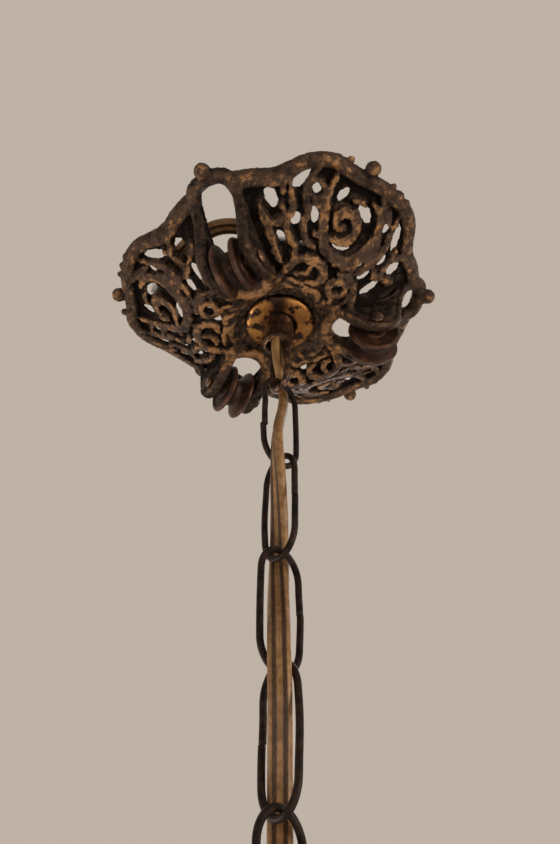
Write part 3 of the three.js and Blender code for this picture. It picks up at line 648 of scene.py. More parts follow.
def sampled(volume, points, corner, step):
    cell = np.clip(np.rint((points - np.array(corner)) / step).astype(int), 0, np.array(volume.shape) - 1)
    return volume[tuple(cell.T)]


def uneven(points, depth, scale, seed):
    """Smooth random hills of about that depth and scale, in millimetres, at the points."""
    waves = 26
    draw = np.random.default_rng(seed)
    total = np.zeros(len(points))
    for _ in range(waves):
        direction = draw.normal(size=3)
        direction /= np.linalg.norm(direction)
        length = scale * draw.uniform(0.6, 1.8)
        total += np.sin(points @ direction * (2 * math.pi / length) + draw.uniform(0, 2 * math.pi))
    return total * depth / math.sqrt(waves / 2)


def roughened(mesh, points, depth, scale, seed):
    normals = np.zeros(len(points) * 3, np.float32)
    mesh.vertex_normals.foreach_get("vector", normals)
    moved = points + normals.reshape(-1, 3) * uneven(points, depth, scale, seed)[:, None]
    mesh.vertices.foreach_set("co", (moved * MM).astype(np.float32).ravel())
    mesh.update()


# Canopy: the pattern of one lobe, flat, as [across, out] from the lobe's middle line and from the hub.

BARS = [  # half width, lift towards the viewer, points
    (1.7, 0.6, [(-11.9, 54.5), (-11.7, 49), (-9.9, 44.3), (-7.8, 39.6), (-4.8, 36), (0, 34.2), (5.4, 35.4),
                (9.2, 39), (11, 43.5), (11, 48), (8.4, 51.6), (4.6, 53.2)]),
    (1.5, 1.0, [(-4.6, 38.8), (-1.6, 39.2), (1.2, 40.4), (3, 43), (2.4, 45.8), (-0.4, 47.4), (-3.4, 47),
                (-5.2, 45), (-4.6, 42.8), (-2.6, 42.2)]),
    (0.8, 0.3, [(-3, 50.8), (0.4, 51.6), (2.4, 51.2)]),
    (1.1, 0.3, [(6.4, 55.8), (11.4, 52.6), (14, 49.6)]),
    (1.2, 0.3, [(13.2, 45.4), (13.4, 41.6), (11.8, 38), (8.6, 34.6), (4, 32.8)]),
    (1.3, 0.3, [(15.8, 52.5), (16.8, 48), (16.8, 43), (15.8, 39), (12.8, 35.4), (10.4, 32.6)]),
    (1.0, 0.1, [(22.6, 43.4), (21.6, 39.6), (20.6, 35.4), (17.6, 33.2)]),
    (0.9, 0.1, [(27.6, 42), (24.4, 40.6), (22, 40.2)]),
    (0.9, 0.0, [(22.4, 33.4), (25.2, 32.8), (28.4, 32.4)]),
    (1.0, 0.1, [(16.8, 35.6), (18.6, 34.4), (22.8, 33.4)]),
    (0.8, 0.1, [(12.4, 34.6), (13.6, 36.2), (16.2, 36.4)]),
    (1.2, 0.2, [(-18.4, 55.4), (-19, 50), (-18.2, 45), (-15.2, 41.6), (-14.6, 37.4), (-11.6, 34.6), (-7.4, 34)]),
    (1.1, 0.2, [(-24.8, 46), (-22.4, 42.2), (-20.2, 40), (-20, 35.6), (-17.2, 32.6), (-13.6, 31), (-12.6, 28)]),
    (1.2, 0.2, [(-33, 38.6), (-30.4, 41.4), (-27, 43.4), (-24.6, 41)]),
    (1.3, 0.2, [(-30, 33.4), (-25.6, 31.2), (-20.4, 27.8), (-15.6, 24.6)]),
    (0.9, 0.1, [(-24.6, 38.4), (-22, 36.6), (-22.4, 33.4), (-24, 32)]),
    (0.9, 0.1, [(-14.4, 43.8), (-11.2, 45), (-9.6, 46.6)]),
    (0.9, 0.1, [(-10.6, 37.6), (-8.6, 37.8), (-6.6, 38.4)]),
    (1.5, 0.9, [(-12.6, 17), (-12.8, 21.5), (-12, 26), (-9.4, 29.6), (-5.4, 31.2), (-1.4, 30), (0.4, 27),
                (-0.4, 24.2), (-3, 22.6)]),
    (1.0, 0.8, [(-5.6, 29.6), (-5.4, 26.6), (-7, 24.2), (-9.2, 23.8)]),
    (1.0, 0.5, [(-9.6, 20.4), (-5, 20.8), (-1, 20), (2.4, 20.4), (4.4, 19), (4.8, 16.4)]),
    (0.9, 0.4, [(-7, 17.6), (-2.4, 18), (1, 16.8)]),
    (1.2, 0.5, [(4.6, 30.6), (8.2, 31.4), (11.6, 29.6), (14.2, 26), (16, 22), (15.4, 18.6)]),
    (0.9, 0.5, [(3.6, 29), (3.8, 25.6), (5.6, 22.8), (8.4, 21), (9, 18)]),
    (0.8, 0.4, [(10.6, 26.2), (13, 24.6), (13.4, 21.4), (12, 18.6)]),
    (0.8, 0.3, [(-16.6, 21.4), (-15.2, 17.6), (-13.6, 14.6)]),
    (0.8, 0.2, [(6.8, 19.2), (7.6, 16.6), (6.6, 14)]),
]

RINGS = [  # across, out, radius of the bar's middle, half width, lift
    (-15.6, 48, 2.7, 0.9, 0.2),
    (7.4, 26.2, 3.0, 1.2, 1.5),
]

HOLES = [  # across, out, half length, half width, turn from across towards out in degrees
    (19.4, 46.6, 4.3, 1.6, 112), (14.0, 47.6, 1.5, 1.2, 60), (4.1, 48.8, 3.4, 1.6, -30),
    (25.4, 36.7, 2.3, 2.0, 30), (18.5, 38.6, 1.8, 1.3, 60), (14.3, 32.8, 2.4, 1.1, 46),
    (19.4, 29.6, 3.7, 1.4, 50), (1.2, 37.7, 3.0, 1.1, 12), (-6.3, 50.4, 2.3, 1.3, 64),
    (-22.0, 48.4, 4.6, 2.0, 84), (-15.5, 47.6, 1.5, 1.4, 0), (-12.3, 41.3, 2.3, 1.3, -52),
    (-17.4, 37.2, 1.8, 1.5, 60), (-27.4, 37.2, 2.8, 1.9, -15), (-18.9, 30.6, 2.0, 1.0, -20),
    (10.8, 35.6, 1.6, 0.8, 52), (-11.8, 32.0, 1.4, 1.1, 90), (-16.0, 28.4, 0.9, 0.6, 60),
    (1.8, 23.4, 2.0, 1.3, 64), (11.8, 23.9, 0.8, 0.6, 0), (7.4, 26.2, 1.6, 1.3, 70),
]

PITS = [  # blind holes: the same, with a depth
    (-8.8, 26.8, 2.2, 1.6, 70, 2.4), (-2.9, 26.8, 2.1, 1.6, 100, 2.4), (-6.2, 23.6, 1.2, 1.0, 0, 1.8),
    (-13.8, 57.2, 3.0, 1.9, 110, 2.2), (0.4, 57.4, 1.7, 1.4, 60, 2.0), (15.2, 53.8, 1.4, 0.9, 60, 1.6),
    (-0.8, 54.2, 6.4, 1.2, 0, 1.6), (9.6, 55.6, 3.2, 0.9, -50, 1.4), (-22.6, 41.2, 2.0, 1.2, 20, 1.2),
    (-4.0, 47.6, 2.6, 1.0, 62, 1.5), (20.6, 42.0, 2.4, 1.2, 100, 1.2), (22.6, 31.2, 2.8, 1.0, 20, 1.2),
    (7.6, 44.2, 2.6, 0.8, 90, 1.3), (-13.6, 35.4, 1.4, 1.0, 0, 1.3), (5.8, 19.4, 1.2, 0.8, 40, 1.4),
    (-10.4, 18.6, 1.4, 0.9, 80, 1.4), (10.6, 20.2, 1.6, 0.8, 70, 1.4), (-2.8, 33.0, 3.0, 0.7, -10, 1.2),
    (13.8, 20.4, 1.6, 0.7, 80, 1.2), (-14.6, 51.6, 1.6, 0.8, 20, 1.4), (25.6, 46.0, 2.0, 0.7, 110, 1.0),
]

RIM = [  # angle from the lobe's middle in degrees, radius
    (-60, 54.0), (-50, 53.6), (-40.5, 53.6), (-35.2, 53.9), (-30.3, 56.0), (-23.8, 59.8), (-19, 61.4),
    (-13.9, 62.0), (-9.4, 60.9), (-4.8, 60.2), (1.9, 60.6), (6.5, 60.8), (12, 60.6), (16.1, 60.4),
    (20.1, 59.6), (24.8, 57.6), (30.3, 54.4), (35.5, 52.8), (40.8, 53.2), (50, 53.6), (60, 54.0),
]

CHEEK = [  # a fork's cheek from the side: radius, height above the collar's underside
    (18, -0.4), (23, -3.8), (28.5, -7.9), (34.4, -9.5), (39.6, -8.6), (43, -5.2), (44.1, 0.5), (45.3, 7),
    (47.4, 12.9), (50, 17.1), (52.6, 19.4), (49.6, 22.4), (46.6, 20.2), (44, 16.1), (42, 10.2), (37.6, 6.4),
    (31, 3.6), (25, 2.8), (18, 2.6),
]

LOBE_KNOBS = [  # across, out past the lobe's radius, radius
    (-2.2, 1.8, 2.7), (11.6, -1.2, 1.5), (7.6, 0.4, 1.1), (-10.6, 0.6, 1.3), (15.6, -2.4, 1.2),
]

FORK_KNOBS = [  # out, across, height, radius
    (FORK_REACH + 3.4, 0, FORK_TIP_HEIGHT - 0.6, 2.9), (FORK_REACH - 3.8, 9.3, FORK_TIP_HEIGHT, 1.5),
    (FORK_REACH - 3.8, -9.3, FORK_TIP_HEIGHT, 1.5),
]

BAR_GAIN = 0.22  # added to each bar's half width
PEARL = (-2.2, 43.2, 1.7)  # the round end of the lobe's curl: across, out, radius


def dish_height(radius, angle):
    seat = SEAT_LIFT * (1 - ease((radius - SEAT_RADIUS) / SEAT_BLEND))
    along = np.clip((radius - BOWL_START) / (LOBE_RADIUS - BOWL_START), 0, 1)
    bowl = BOWL_HEIGHT * (1 - np.cos(math.pi * along ** BOWL_EASE)) / 2
    beside = ease((np.abs(angle) - 24) / 26) * ease((radius - 32) / 22)
    return seat + bowl + FORK_LIFT * beside


def lobe_polar(x, y):
    """The distance from the hub, and the degrees from the nearest lobe's middle line."""
    azimuth = np.degrees(np.arctan2(y, x))
    return np.hypot(x, y), (azimuth + SECTOR / 2) % SECTOR - SECTOR / 2


def flat(values):
    """A map of the lobe, ready to meet heights."""
    return values.astype(np.float32)[:, :, None]


def rim_edge(radius, angle):
    """How far inside the rim's outline each place lies."""
    line = catmull([(a, r, 0) for a, r in RIM], 6)
    rim = np.interp(angle, line[:, 0], line[:, 1])
    slope = np.interp(angle, line[:, 0], np.gradient(line[:, 1], np.radians(line[:, 0]))) / rim
    return (rim - radius) / np.sqrt(1 + slope ** 2)


def bar_reach(place, half_width, points):
    """Signed distance to a bar that gets thinner towards its ends."""
    taper = 0.55
    line = catmull([(*p, 0) for p in points], 5)[:, :2]
    best = np.full(place[0].shape, FAR, np.float32)
    count = len(line) - 1
    for k in range(count):
        reach, share = segment_reach(place, line[k], line[k + 1])
        width = (half_width + BAR_GAIN) * (1 - taper * np.abs(2 * ((k + share) / count) - 1) ** 3)
        best = np.minimum(best, reach - width)
    return best


def bar_pattern(across, out):
    """The distance to the nearest bar, and that bar's lift."""
    reaches = [(bar_reach((across, out), width, points), lift, 0.5) for width, lift, points in BARS]
    reaches += [(np.abs(np.hypot(across - a, out - o) - r) - width, lift, 0.4) for a, o, r, width, lift in RINGS]
    bars = np.full(across.shape, FAR, np.float32)
    lifts = np.zeros(across.shape, np.float32)
    for reach, lift, blend in reaches:
        lifts = np.where(reach < np.minimum(bars, 0.6), lift, lifts)
        bars = smooth_min(bars, reach, blend)
    bars += 0.36 * np.sin(1.7 * across + 1.3 * np.sin(1.3 * out)) * np.sin(1.5 * out + 1.1 * np.sin(1.9 * across))
    lifts = np.maximum(lifts, 0)
    for _ in range(2):
        lifts = (lifts + sum(np.roll(lifts, n, axis) for axis in (0, 1) for n in (1, -1))) / 5
    return bars, lifts


def oval_reach(place, across, out, half_length, half_width, turn):
    """Roughly the signed distance to an oval, a little out of shape."""
    c, s = math.cos(math.radians(turn)), math.sin(math.radians(turn))
    x, y = place[0] - across, place[1] - out
    u, v = x * c + y * s, -x * s + y * c
    wobble = 1 + 0.1 * np.sin(2.3 * u + out) * np.sin(1.9 * v + across)
    level = np.sqrt((u / half_length) ** 2 + (v / half_width) ** 2) * wobble
    return (level - 1) * half_width * (0.6 + 0.4 * half_length / half_width)


def lobe_solid(radius, angle, across, out, depth):
    """The lobes with their web, bars, rim and knobs, and a map of how far each place is bar or rim."""
    under = dish_height(radius, angle)
    edge = rim_edge(radius, angle)
    bars, lifts = bar_pattern(across, out)
    holes = np.full(across.shape, FAR, np.float32)
    for hole in HOLES:
        holes = np.minimum(holes, oval_reach((across, out), *hole))
    sunk = np.zeros(across.shape, np.float32)
    for *pit, pit_depth in PITS:
        sunk = np.maximum(sunk, pit_depth * ease(0.5 - oval_reach((across, out), *pit) / 1.2))

    hub = ease((24 - radius) / 6)
    grain = 0.35 * np.sin(across * 1.7 + 2 * np.sin(out * 0.9)) * np.sin(out * 1.5 + np.sin(across * 1.1))
    web_top = under + WALL + 0.5 * hub
    web_under = under + 1.3 * (1 - hub) - 0.1 * hub + 0.6 * sunk + grain * (0.5 + 0.7 * hub)
    web_under = np.minimum(web_under, web_top - WEB_LEAST)
    web = np.maximum(flat(web_under) - depth, depth - flat(web_top))
    web = smooth_max(web, flat(-holes), 0.5)
    web = np.maximum(web, flat(-edge))

    bar_middle = under + 0.75 - lifts + 0.55 * sunk
    bar_side = smooth_max(np.maximum(bars, -edge), -holes - 0.1, 0.3)
    bar_solid = rounded_meet(flat(bar_side), np.abs(depth - flat(bar_middle)) - BAR_HALF_DEPTH, BAR_ROUNDING)
    solid = smooth_min(web, bar_solid, 0.45)
    rim_across = np.maximum(np.abs(edge - 2.3) - 0.6, 0)
    rim_solid = np.hypot(flat(rim_across), (depth - flat(under + 1.1)) / 1.12) - RIM_RADIUS
    solid = smooth_min(solid, rim_solid, 0.9)

    place = flat(across), flat(out), depth
    a, o, size = PEARL
    height = dish_height(math.hypot(a, o), math.degrees(math.atan2(a, o))) - 1.3
    solid = smooth_min(solid, ball_reach(place, (a, o, height), size), 0.4)
    height = dish_height(LOBE_RADIUS, 0) + 1.3
    for a, past, size in LOBE_KNOBS:
        solid = smooth_min(solid, ball_reach(place, (a, LOBE_RADIUS + past, height), size), 0.8)
    return solid, np.maximum(ease(0.9 - bars), 1.1 * ease(5.2 - edge))


def add_forks(solid, gx, gy, z, step):
    """Cuts the slots, and adds each fork's cheeks, its arch, the bend behind its slot and its knobs."""
    slot_end, shoulder = SLOT_START + SLOT_HALF, FORK_HALF - CHEEK_WALL / 2
    half_arch = [(FORK_REACH - 5.4, shoulder, FORK_TIP_HEIGHT - 2.8),
                 (FORK_REACH - 1.4, SLOT_HALF, FORK_TIP_HEIGHT - 1)]
    arch = catmull([(x, -y, h) for x, y, h in half_arch] + [(FORK_REACH, 0, FORK_TIP_HEIGHT)] + half_arch[::-1], 3)
    turns = [math.radians(90 + t * 20) for t in range(10)]
    bend = [(slot_end + shoulder * math.cos(t), shoulder * math.sin(t), 0.5) for t in turns]
    cheek_line = catmull([(*p, 0) for p in CHEEK + CHEEK[:1]], 4)[:-1, :2]
    table_x = np.arange(8.0, 68.0, step)
    cheek_table = polygon_reach(np.meshgrid(table_x, z, indexing="ij"), cheek_line)
    for k in range(SECTORS):
        turn = math.radians(SECTOR / 2 + k * SECTOR)
        fork_x, fork_y = gx * math.cos(turn) + gy * math.sin(turn), gy * math.cos(turn) - gx * math.sin(turn)
        near = (np.abs(fork_y) < FORK_HALF + 5) & (fork_x > 12)
        x, y, height = fork_x[near][:, None], fork_y[near][:, None], z[None, :]
        slot = np.where(x > slot_end, np.abs(y) - SLOT_HALF, np.hypot(x - slot_end, y) - SLOT_HALF)
        block = smooth_max(solid[near], -slot, 0.4)
        row = (x[:, 0] - table_x[0]) / step
        low = np.clip(row.astype(int), 0, len(table_x) - 2)
        share = np.clip(row - low, 0, 1)[:, None]
        cheek = cheek_table[low] * (1 - share) + cheek_table[low + 1] * share
        plate = np.abs(np.abs(y) - shoulder) - CHEEK_WALL / 2
        groove = 0.55 * np.exp(-(cheek + 1.9) ** 2 / 0.5)
        block = smooth_min(block, rounded_meet(cheek, plate + groove, 1.5), 1.0)
        for line, thick in ((arch, 2.6), (bend, 2.1)):
            for a, b in zip(line[:-1], line[1:]):
                block = smooth_min(block, segment_reach((x, y, height), a, b)[0] - thick, 0.5)
        for *centre, size in FORK_KNOBS:
            block = smooth_min(block, ball_reach((x, y, height), centre, size), 0.8)
        bore = np.hypot(x - AXLE_REACH, height + AXLE_DEPTH) - AXLE_RADIUS - CLEAR
        solid[near] = np.maximum(block, -bore)


def canopy_field(step):
    """The casting as a field in its own frame: a lobe's middle along +X, the collar's underside at 0. Also
    the field's first corner, and the map of bars and rim."""
    corner = (-67.0, -67.0, -12.0)
    x, z = np.arange(corner[0], 67.0, step), np.arange(corner[2], 27.5, step)
    gx, gy = np.meshgrid(x, x, indexing="ij")
    radius, angle = lobe_polar(gx, gy)
    across, out = radius * np.sin(np.radians(angle)), radius * np.cos(np.radians(angle))
    depth = z[None, None, :].astype(np.float32)
    solid, raised = lobe_solid(radius, angle, across.astype(np.float32), out.astype(np.float32), depth)
    add_forks(solid, gx, gy, z, step)
    return np.maximum(solid, flat(NECK_RADIUS + CLEAR - radius)), corner, raised


def make_canopy(paint):
    step = 0.45
    solid, corner, raised = canopy_field(step)
    points, quads = skin_of(solid, corner, step)
    mesh = fast_mesh("canopy_openwork", points, quads)
    radius, angle = lobe_polar(points[:, 0], points[:, 1])

    # What the finish is worn by: open places, high places, and bars, rim, forks and hub, less a painted shadow round
    # the collar.
    share = blurred(solid < 0, max(1, round(1.3 / step)))
    set_attribute(mesh, "open", np.clip(1.25 - 1.7 * sampled(share, points, corner, step), 0, 1))
    set_attribute(mesh, "lift", np.clip((dish_height(radius, angle) + 0.9 - points[:, 2]) / 2.4, -0.4, 1))
    beside_fork = np.abs(radius * np.sin(np.radians(SECTOR / 2 - np.abs(angle))))
    fork = ease((FORK_HALF + 1.5 - beside_fork) / 2) * ease((radius - SEAT_RADIUS) / 4)
    bar = sampled(raised[:, :, None], points * np.array((1, 1, 0)), (*corner[:2], 0), step)
    bar = np.where(fork > 0.1, bar * (1 - 0.55 * fork) + 0.4 * fork, bar)
    bar = np.maximum(bar, 1.3 * ease((29 - radius) / 6))
    # Painted shadow: the casting under and just round the collar is darkened, where the collar shades it.
    shadow = ease((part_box("collar_ring")[1].x / MM + 0.8 - radius) / 1.0)
    set_attribute(mesh, "bar", bar - 1.6 * shadow)

    roughened(mesh, points, 0.17, 3.4, 7)
    roughened(mesh, points, 0.06, 1.4, 8)
    turn = Matrix.Rotation(math.radians(FIRST_FORK - SECTOR / 2), 4, "Z")
    mesh.transform(Matrix.Translation((0, 0, COLLAR_Z * MM)) @ turn)
    finished(new_object("canopy_openwork", mesh, paint), "canopy", "canopy_casting")


# Pulleys and axles

def fork_matrix(k):
    turn = Matrix.Rotation(math.radians(FIRST_FORK + k * SECTOR), 4, "Z")
    place = Matrix.Translation((AXLE_REACH * MM, 0, (COLLAR_Z - AXLE_DEPTH) * MM))
    return turn @ place @ Matrix.Rotation(math.pi / 2, 4, "X")


def make_pulleys(wheel_paint, axle_paint):
    half, radius, groove = 4.5, 9.5, 5.6
    bore = AXLE_RADIUS + CLEAR
    lower = at(-half, [(bore, 0), (3.4, 0), (3.9, 0.5), (7.4, 0.5), (8.0, 0), (radius - 0.7, 0), (radius, 0.7),
                       (radius, 1.3)]) + [(7.2, -2.1), (groove + 0.2, -1.3)]
    wheel_outline = lower + [(groove, 0)] + mirrored(lower)
    end = -FORK_HALF - CLEAR
    rivet = at(end, [(0, -1.1), (1.4, -0.95), (2.2, -0.5), (2.5, 0), (AXLE_RADIUS, 0.05)])
    rivet += mirrored(rivet)
    for k in range(SECTORS):
        def dent(angle, r, z, seed=k):
            return 0.07 * math.sin(2 * angle + seed) + 0.05 * math.sin(5 * angle + 2 * seed + z)
        wheel = turned(f"pulley_wheel_{k + 1}", wheel_outline, wheel_paint, 96, 0.5, dent, fork_matrix(k))
        finished(wheel, f"pulley_wheel_{k + 1}", f"pulley_{k + 1}")
        axle = turned(f"pulley_rivet_{k + 1}", rivet, axle_paint, 40, 0.2, None, fork_matrix(k))
        finished(axle, "canopy", f"pulley_axle_{k + 1}")


# Cord: the route of the part, as [x, y, z] and the azimuth of the wide side.

CORD_ROUTE = [
    (-40.4, -11.4, -4.4, 26), (-37.2, -18, -4.4, 34), (-31, -24.6, -4.5, 50), (-21.5, -30, -4.8, 68),
    (-12, -29.6, -5.6, 110), (-5, -23, -7, 150), (-1.2, -14, -8.6, 172), (0, -6.4, -9.6, 180),
    (0, -1.9, -10.6, 180), (0, 0, -13.6, 182), (0, 0, -18, 205), (0, 0, -23, 238),
    (-0.2, -0.4, -28, 246), (-0.6, -1.2, -33, 250), (-1, -1.8, -38, 249), (-0.5, -0.6, -43.5, 244),
    (0.5, 2.6, -49, 250), (1.2, 7, -55.6, 266), (0.7, 4.6, -64.5, 270), (-0.1, 0, -73, 272),
    (-0.8, -4.5, -81.6, 276), (-0.9, -6.4, -90.1, 286), (-0.6, -4.7, -99, 298), (-0.3, 0, -107.4, 308),
    (-0.2, 4.4, -115.8, 320), (-0.3, 6.2, -124.8, 334), (-0.4, 4.4, -133.8, 348), (-0.4, 0, -142.1, 357),
    (-0.3, -4.4, -150.4, 360), (-0.2, -6.2, -159.4, 360), (0, -4.4, -168.4, 360), (0, 0, -176.8, 360),
    (0, 4.4, -185.2, 360), (0, 6.2, -194.1, 360), (0, 4.4, -203, 360), (0, 0, -211.4, 360),
    (0, -4.8, -220, 360), (0, -7.4, -227.6, 360), (0, -7.6, -234, 360), (0, -4.6, -239.6, 360),
    (0, -1.2, -244.6, 360), (0, 0, -250, 360), (0, 0, -258, 360), (0, 0, -267.3, 360),
]
CORD_HALF_WIDTH = 3.1
CORD_HALF_THICKNESS = 1.6


def cord_section():
    """Two round cores joined by a thinner web, as points from the cord's middle."""
    middle, core, waist = CORD_HALF_WIDTH - CORD_HALF_THICKNESS, CORD_HALF_THICKNESS, 0.8 * CORD_HALF_THICKNESS
    angles = [math.radians(a) for a in range(-110, 111, 20)]
    right = [(middle + core * math.cos(a), core * math.sin(a)) for a in angles]
    return right + [(0, waist)] + [(-u, -v) for u, v in right] + [(0, -waist)]


def make_cord(paint):
    """The cord in stretches cut at the links' middles, one for each swing joint."""
    line = catmull(CORD_ROUTE, 9)
    places, azimuths = line[:, :3], np.radians(line[:, 3])
    wide = np.stack([np.cos(azimuths), np.sin(azimuths), np.zeros(len(azimuths))], 1)
    lengths = np.concatenate([[0], np.cumsum(np.linalg.norm(np.diff(places, axis=0), axis=1))])
    section = cord_section()
    joints = [j["pos_m"][2] / MM for j in frame["joints"] if j["name"].endswith("swing")]
    cuts = [sum(span(f"chain_link_{k + 1}")) / 2 for k in range(LINKS)]
    ends = [0] + [int(np.argmin(np.abs(places[:, 2] - cut))) for cut in cuts] + [len(line) - 1]
    for k, joint in enumerate(joints):
        part = slice(ends[k], ends[k + 1] + 1)
        points, faces = swept(places[part], wide[part], section, caps=k in (0, len(joints) - 1))
        made = build(f"lamp_cord_{k + 1}", points, faces, paint)
        rings = ends[k + 1] + 1 - ends[k]
        set_attribute(made.data, "across", np.tile([u / CORD_HALF_WIDTH for u, _ in section], rings))
        set_attribute(made.data, "along", np.repeat(lengths[part] * MM, len(section)))
        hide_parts("lamp_cord")
        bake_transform(made)


# Chain

def link_path(reach, half_span, slit, joint_drop, misfit):
    """A link's wire in its own plane, from one end at its open joint round to the other. The legs bow out
    a little, and the upper end stands inside the lower one by the misfit."""
    cap, bow = 8.6, 0.3
    low, joint = cap - reach, -reach / 2 - joint_drop
    side = half_span - bow
    turn = np.linspace(0, math.pi, 31)

    def leg(start, end, steps):
        z = np.linspace(start, end, steps)
        x = side + bow * np.sin(math.pi * (-cap - z) / (reach - 2 * cap))
        return x, z

    down_x, down_z = leg(joint - slit / 2, low, 12)
    up_x, up_z = leg(low, -cap, 16)
    last_x, last_z = leg(-cap, joint + slit / 2, 12)
    inwards = misfit * ease((-cap - last_z) / 4)
    x = np.concatenate([-down_x, -side * np.cos(turn), up_x, side * np.cos(turn), inwards - last_x])
    z = np.concatenate([down_z, low - cap * np.sin(turn), up_z, -cap + cap * np.sin(turn), last_z])
    path = np.stack([x, 0 * x, z], 1)
    return path[np.append(np.linalg.norm(np.diff(path, axis=0), axis=1) > 1e-6, True)]


def make_links(paint):
    reach, half_span, wire, slit, yaw = 36.96, 7.1, 1.0, 0.4, 40
    for k in range(LINKS):
        top = span(f"chain_link_{k + 1}")[1] - wire
        joint_drop, misfit = (4.8, 0.75) if k == 0 else (0, 0.2)
        path = link_path(reach, half_span, slit, joint_drop, misfit)
        draw = np.random.default_rng(40 + k)
        down = path[:, 2] / reach
        path[:, 1] += 0.2 * np.sin(down * 6.3 + draw.uniform(0, 6)) * np.sin(-down * math.pi)
        points, faces = swept(path, np.tile((0.0, 1.0, 0.0), (len(path), 1)), circle(wire, 18))
        made = build(f"link_wire_{k + 1}", points, faces, paint)
        turn = Matrix.Rotation(math.radians(yaw + 90 * k), 4, "Z")
        made.data.transform(Matrix.Translation((0, 0, top * MM)) @ turn)
        finished(face_outwards(made), f"link_{k + 1}", f"chain_link_{k + 1}")


# Collar and loops

def make_collar(paint):
    low, high = span("collar_ring")
    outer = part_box("collar_ring")[1].x / MM
    inner = NECK_RADIUS - 0.3
    outline = [(inner, low + 0.5), (inner + 0.5, low + 0.05), (outer - 2.4, low), (outer - 1, low + 0.3),
               (outer, low + 1.1), (outer, high - 0.5), (outer - 0.5, high), (inner, high)]

    def dent(angle, radius, z):
        return 0.09 * math.sin(3 * angle) + 0.06 * math.sin(7 * angle + 1) + 0.04 * math.sin(17 * angle)

    nut = turned("collar_nut", outline, paint, 128, 0.3, dent)
    # The collar is made darker on one side, towards -Y.
    places = np.array([v.co[:2] for v in nut.data.vertices])
    away = np.degrees(np.arctan2(places[:, 1], places[:, 0])) - DARK_SIDE_AZIMUTH
    set_attribute(nut.data, "dark_side", np.exp(-(away / DARK_SIDE_REACH) ** 4))
    finished(nut, "canopy", "collar_ring")


def cord_reach(place, extra):
    """Roughly the distance to the cord, grown by extra."""
    best = np.full(np.broadcast(*place).shape, FAR, np.float32)
    low, top = place[2].min() - 4, place[2].max() + 4
    line = catmull(CORD_ROUTE, 3)
    for a, b in zip(line[:-1], line[1:]):
        if max(a[2], b[2]) < low or min(a[2], b[2]) > top:
            continue
        azimuth = math.radians((a[3] + b[3]) / 2)
        side = np.array((math.cos(azimuth), math.sin(azimuth), 0)) * (CORD_HALF_WIDTH - CORD_HALF_THICKNESS)
        for sign in (-1, 0, 1):
            reach = segment_reach(place, a[:3] + sign * side, b[:3] + sign * side)[0]
            best = np.minimum(best, reach - (CORD_HALF_THICKNESS + extra))
    return best


def lathe_reach(x, y, z, outline):
    """Signed distance to a turned shape, exact near its height only."""
    radius, height = np.broadcast_arrays(np.hypot(x, y), z)
    keep = (height > outline[:, 1].min() - 2) & (height < outline[:, 1].max() + 2)
    result = np.full(radius.shape, 9.0)
    both_sides = np.concatenate([outline, outline[::-1] * np.array((-1, 1))])
    result[keep] = polygon_reach((radius[keep], height[keep]), both_sides)
    return result


def make_loop(name, body, node_name, paint, hub, ring, bores, seed, shift=0):
    """A wire loop in a turned hub, with the cord's way and other bores cut through. The ring is given by its
    half width, its legs' ends, its outer wire's middle and its azimuth. It hangs down if its legs end above."""
    half_span, legs, turning, yaw = ring
    lows, highs = (np.array(c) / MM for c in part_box(node_name))
    step, pad = 0.2, 1.2
    corner = lows - pad
    axes = [np.arange(corner[n], highs[n] + pad, step) for n in range(3)]
    x, y, z = np.meshgrid(*axes, indexing="ij", sparse=True)
    up = 1 if legs > turning else -1
    arc = turning + up * half_span
    c, s = math.cos(math.radians(yaw)), math.sin(math.radians(yaw))
    u, v = x * c + y * s, -x * s + y * c
    wire = np.where(up * (z - arc) < 0, np.hypot(np.hypot(u, z - arc) - half_span, v),
                    np.hypot(np.abs(u) - half_span, v)) - LOOP_WIRE
    wire = np.maximum(wire, up * (z - legs))
    solid = smooth_min(lathe_reach(x - shift, y, z, np.array(hub, float)), wire, 0.9)
    solid = smooth_max(solid, -cord_reach((x, y, z), 0.15), 0.2)
    for start, end, radius in bores:
        solid = smooth_max(solid, radius - segment_reach((x, y, z), start, end)[0], 0.3)
    points, quads = skin_of(solid, corner, step)
    mesh = fast_mesh(name, points, quads)
    roughened(mesh, points, 0.05, 1.8, seed)
    finished(new_object(name, mesh, paint), body, node_name)


def make_loops(dark_paint, brass_paint):
    low, high = span("screw_collar_loop")
    hub_low, neck = COLLAR_Z - 12.4, NECK_RADIUS - 0.55
    hub = at(hub_low, [(0, 0), (3.2, 0.1), (4.8, 0.6), (5.5, 1.9), (5.6, 4), (5.6, 7)])
    hub += [(5.7, COLLAR_Z - 1.8), (neck, COLLAR_Z - 0.4), (neck, high - 0.3), (neck - 0.3, high), (0, high)]
    tube_bore = (0, 0, span("nipple")[0] + 5), (0, 0, high + 9), TUBE_BORE
    cord_mouth = (-1.4, -0.4, hub_low + 5), (-3, -1, hub_low - 2), 2.5
    make_loop("collar_loop", "canopy", "screw_collar_loop", dark_paint, hub,
              (4.1, hub_low + 3, low + LOOP_WIRE, -53), [tube_bore, cord_mouth], 3, -0.9)

    low, high = span("lampholder_loop")
    eye = high - LOOP_WIRE
    hub_top = eye - 4.6 - 4.4
    hub = at(low, [(0, 0), (6.3, 0), (6.6, 0.3), (6.6, 2.4), (6.0, 3), (6.0, 3.6), (6.6, 4.2)])
    hub += at(hub_top, [(6.6, -3), (6.2, -1.9), (5.2, -0.8), (2.4, 0), (0, 0)])
    make_loop("holder_loop", "lampholder", "lampholder_loop", brass_paint, hub,
              (4.6, hub_top - 3.6, eye, 130), [((0, 0, low - 9), (0, 0, low - 1), TUBE_BORE)], 4)


# Ceiling hardware, lampholder and bulb

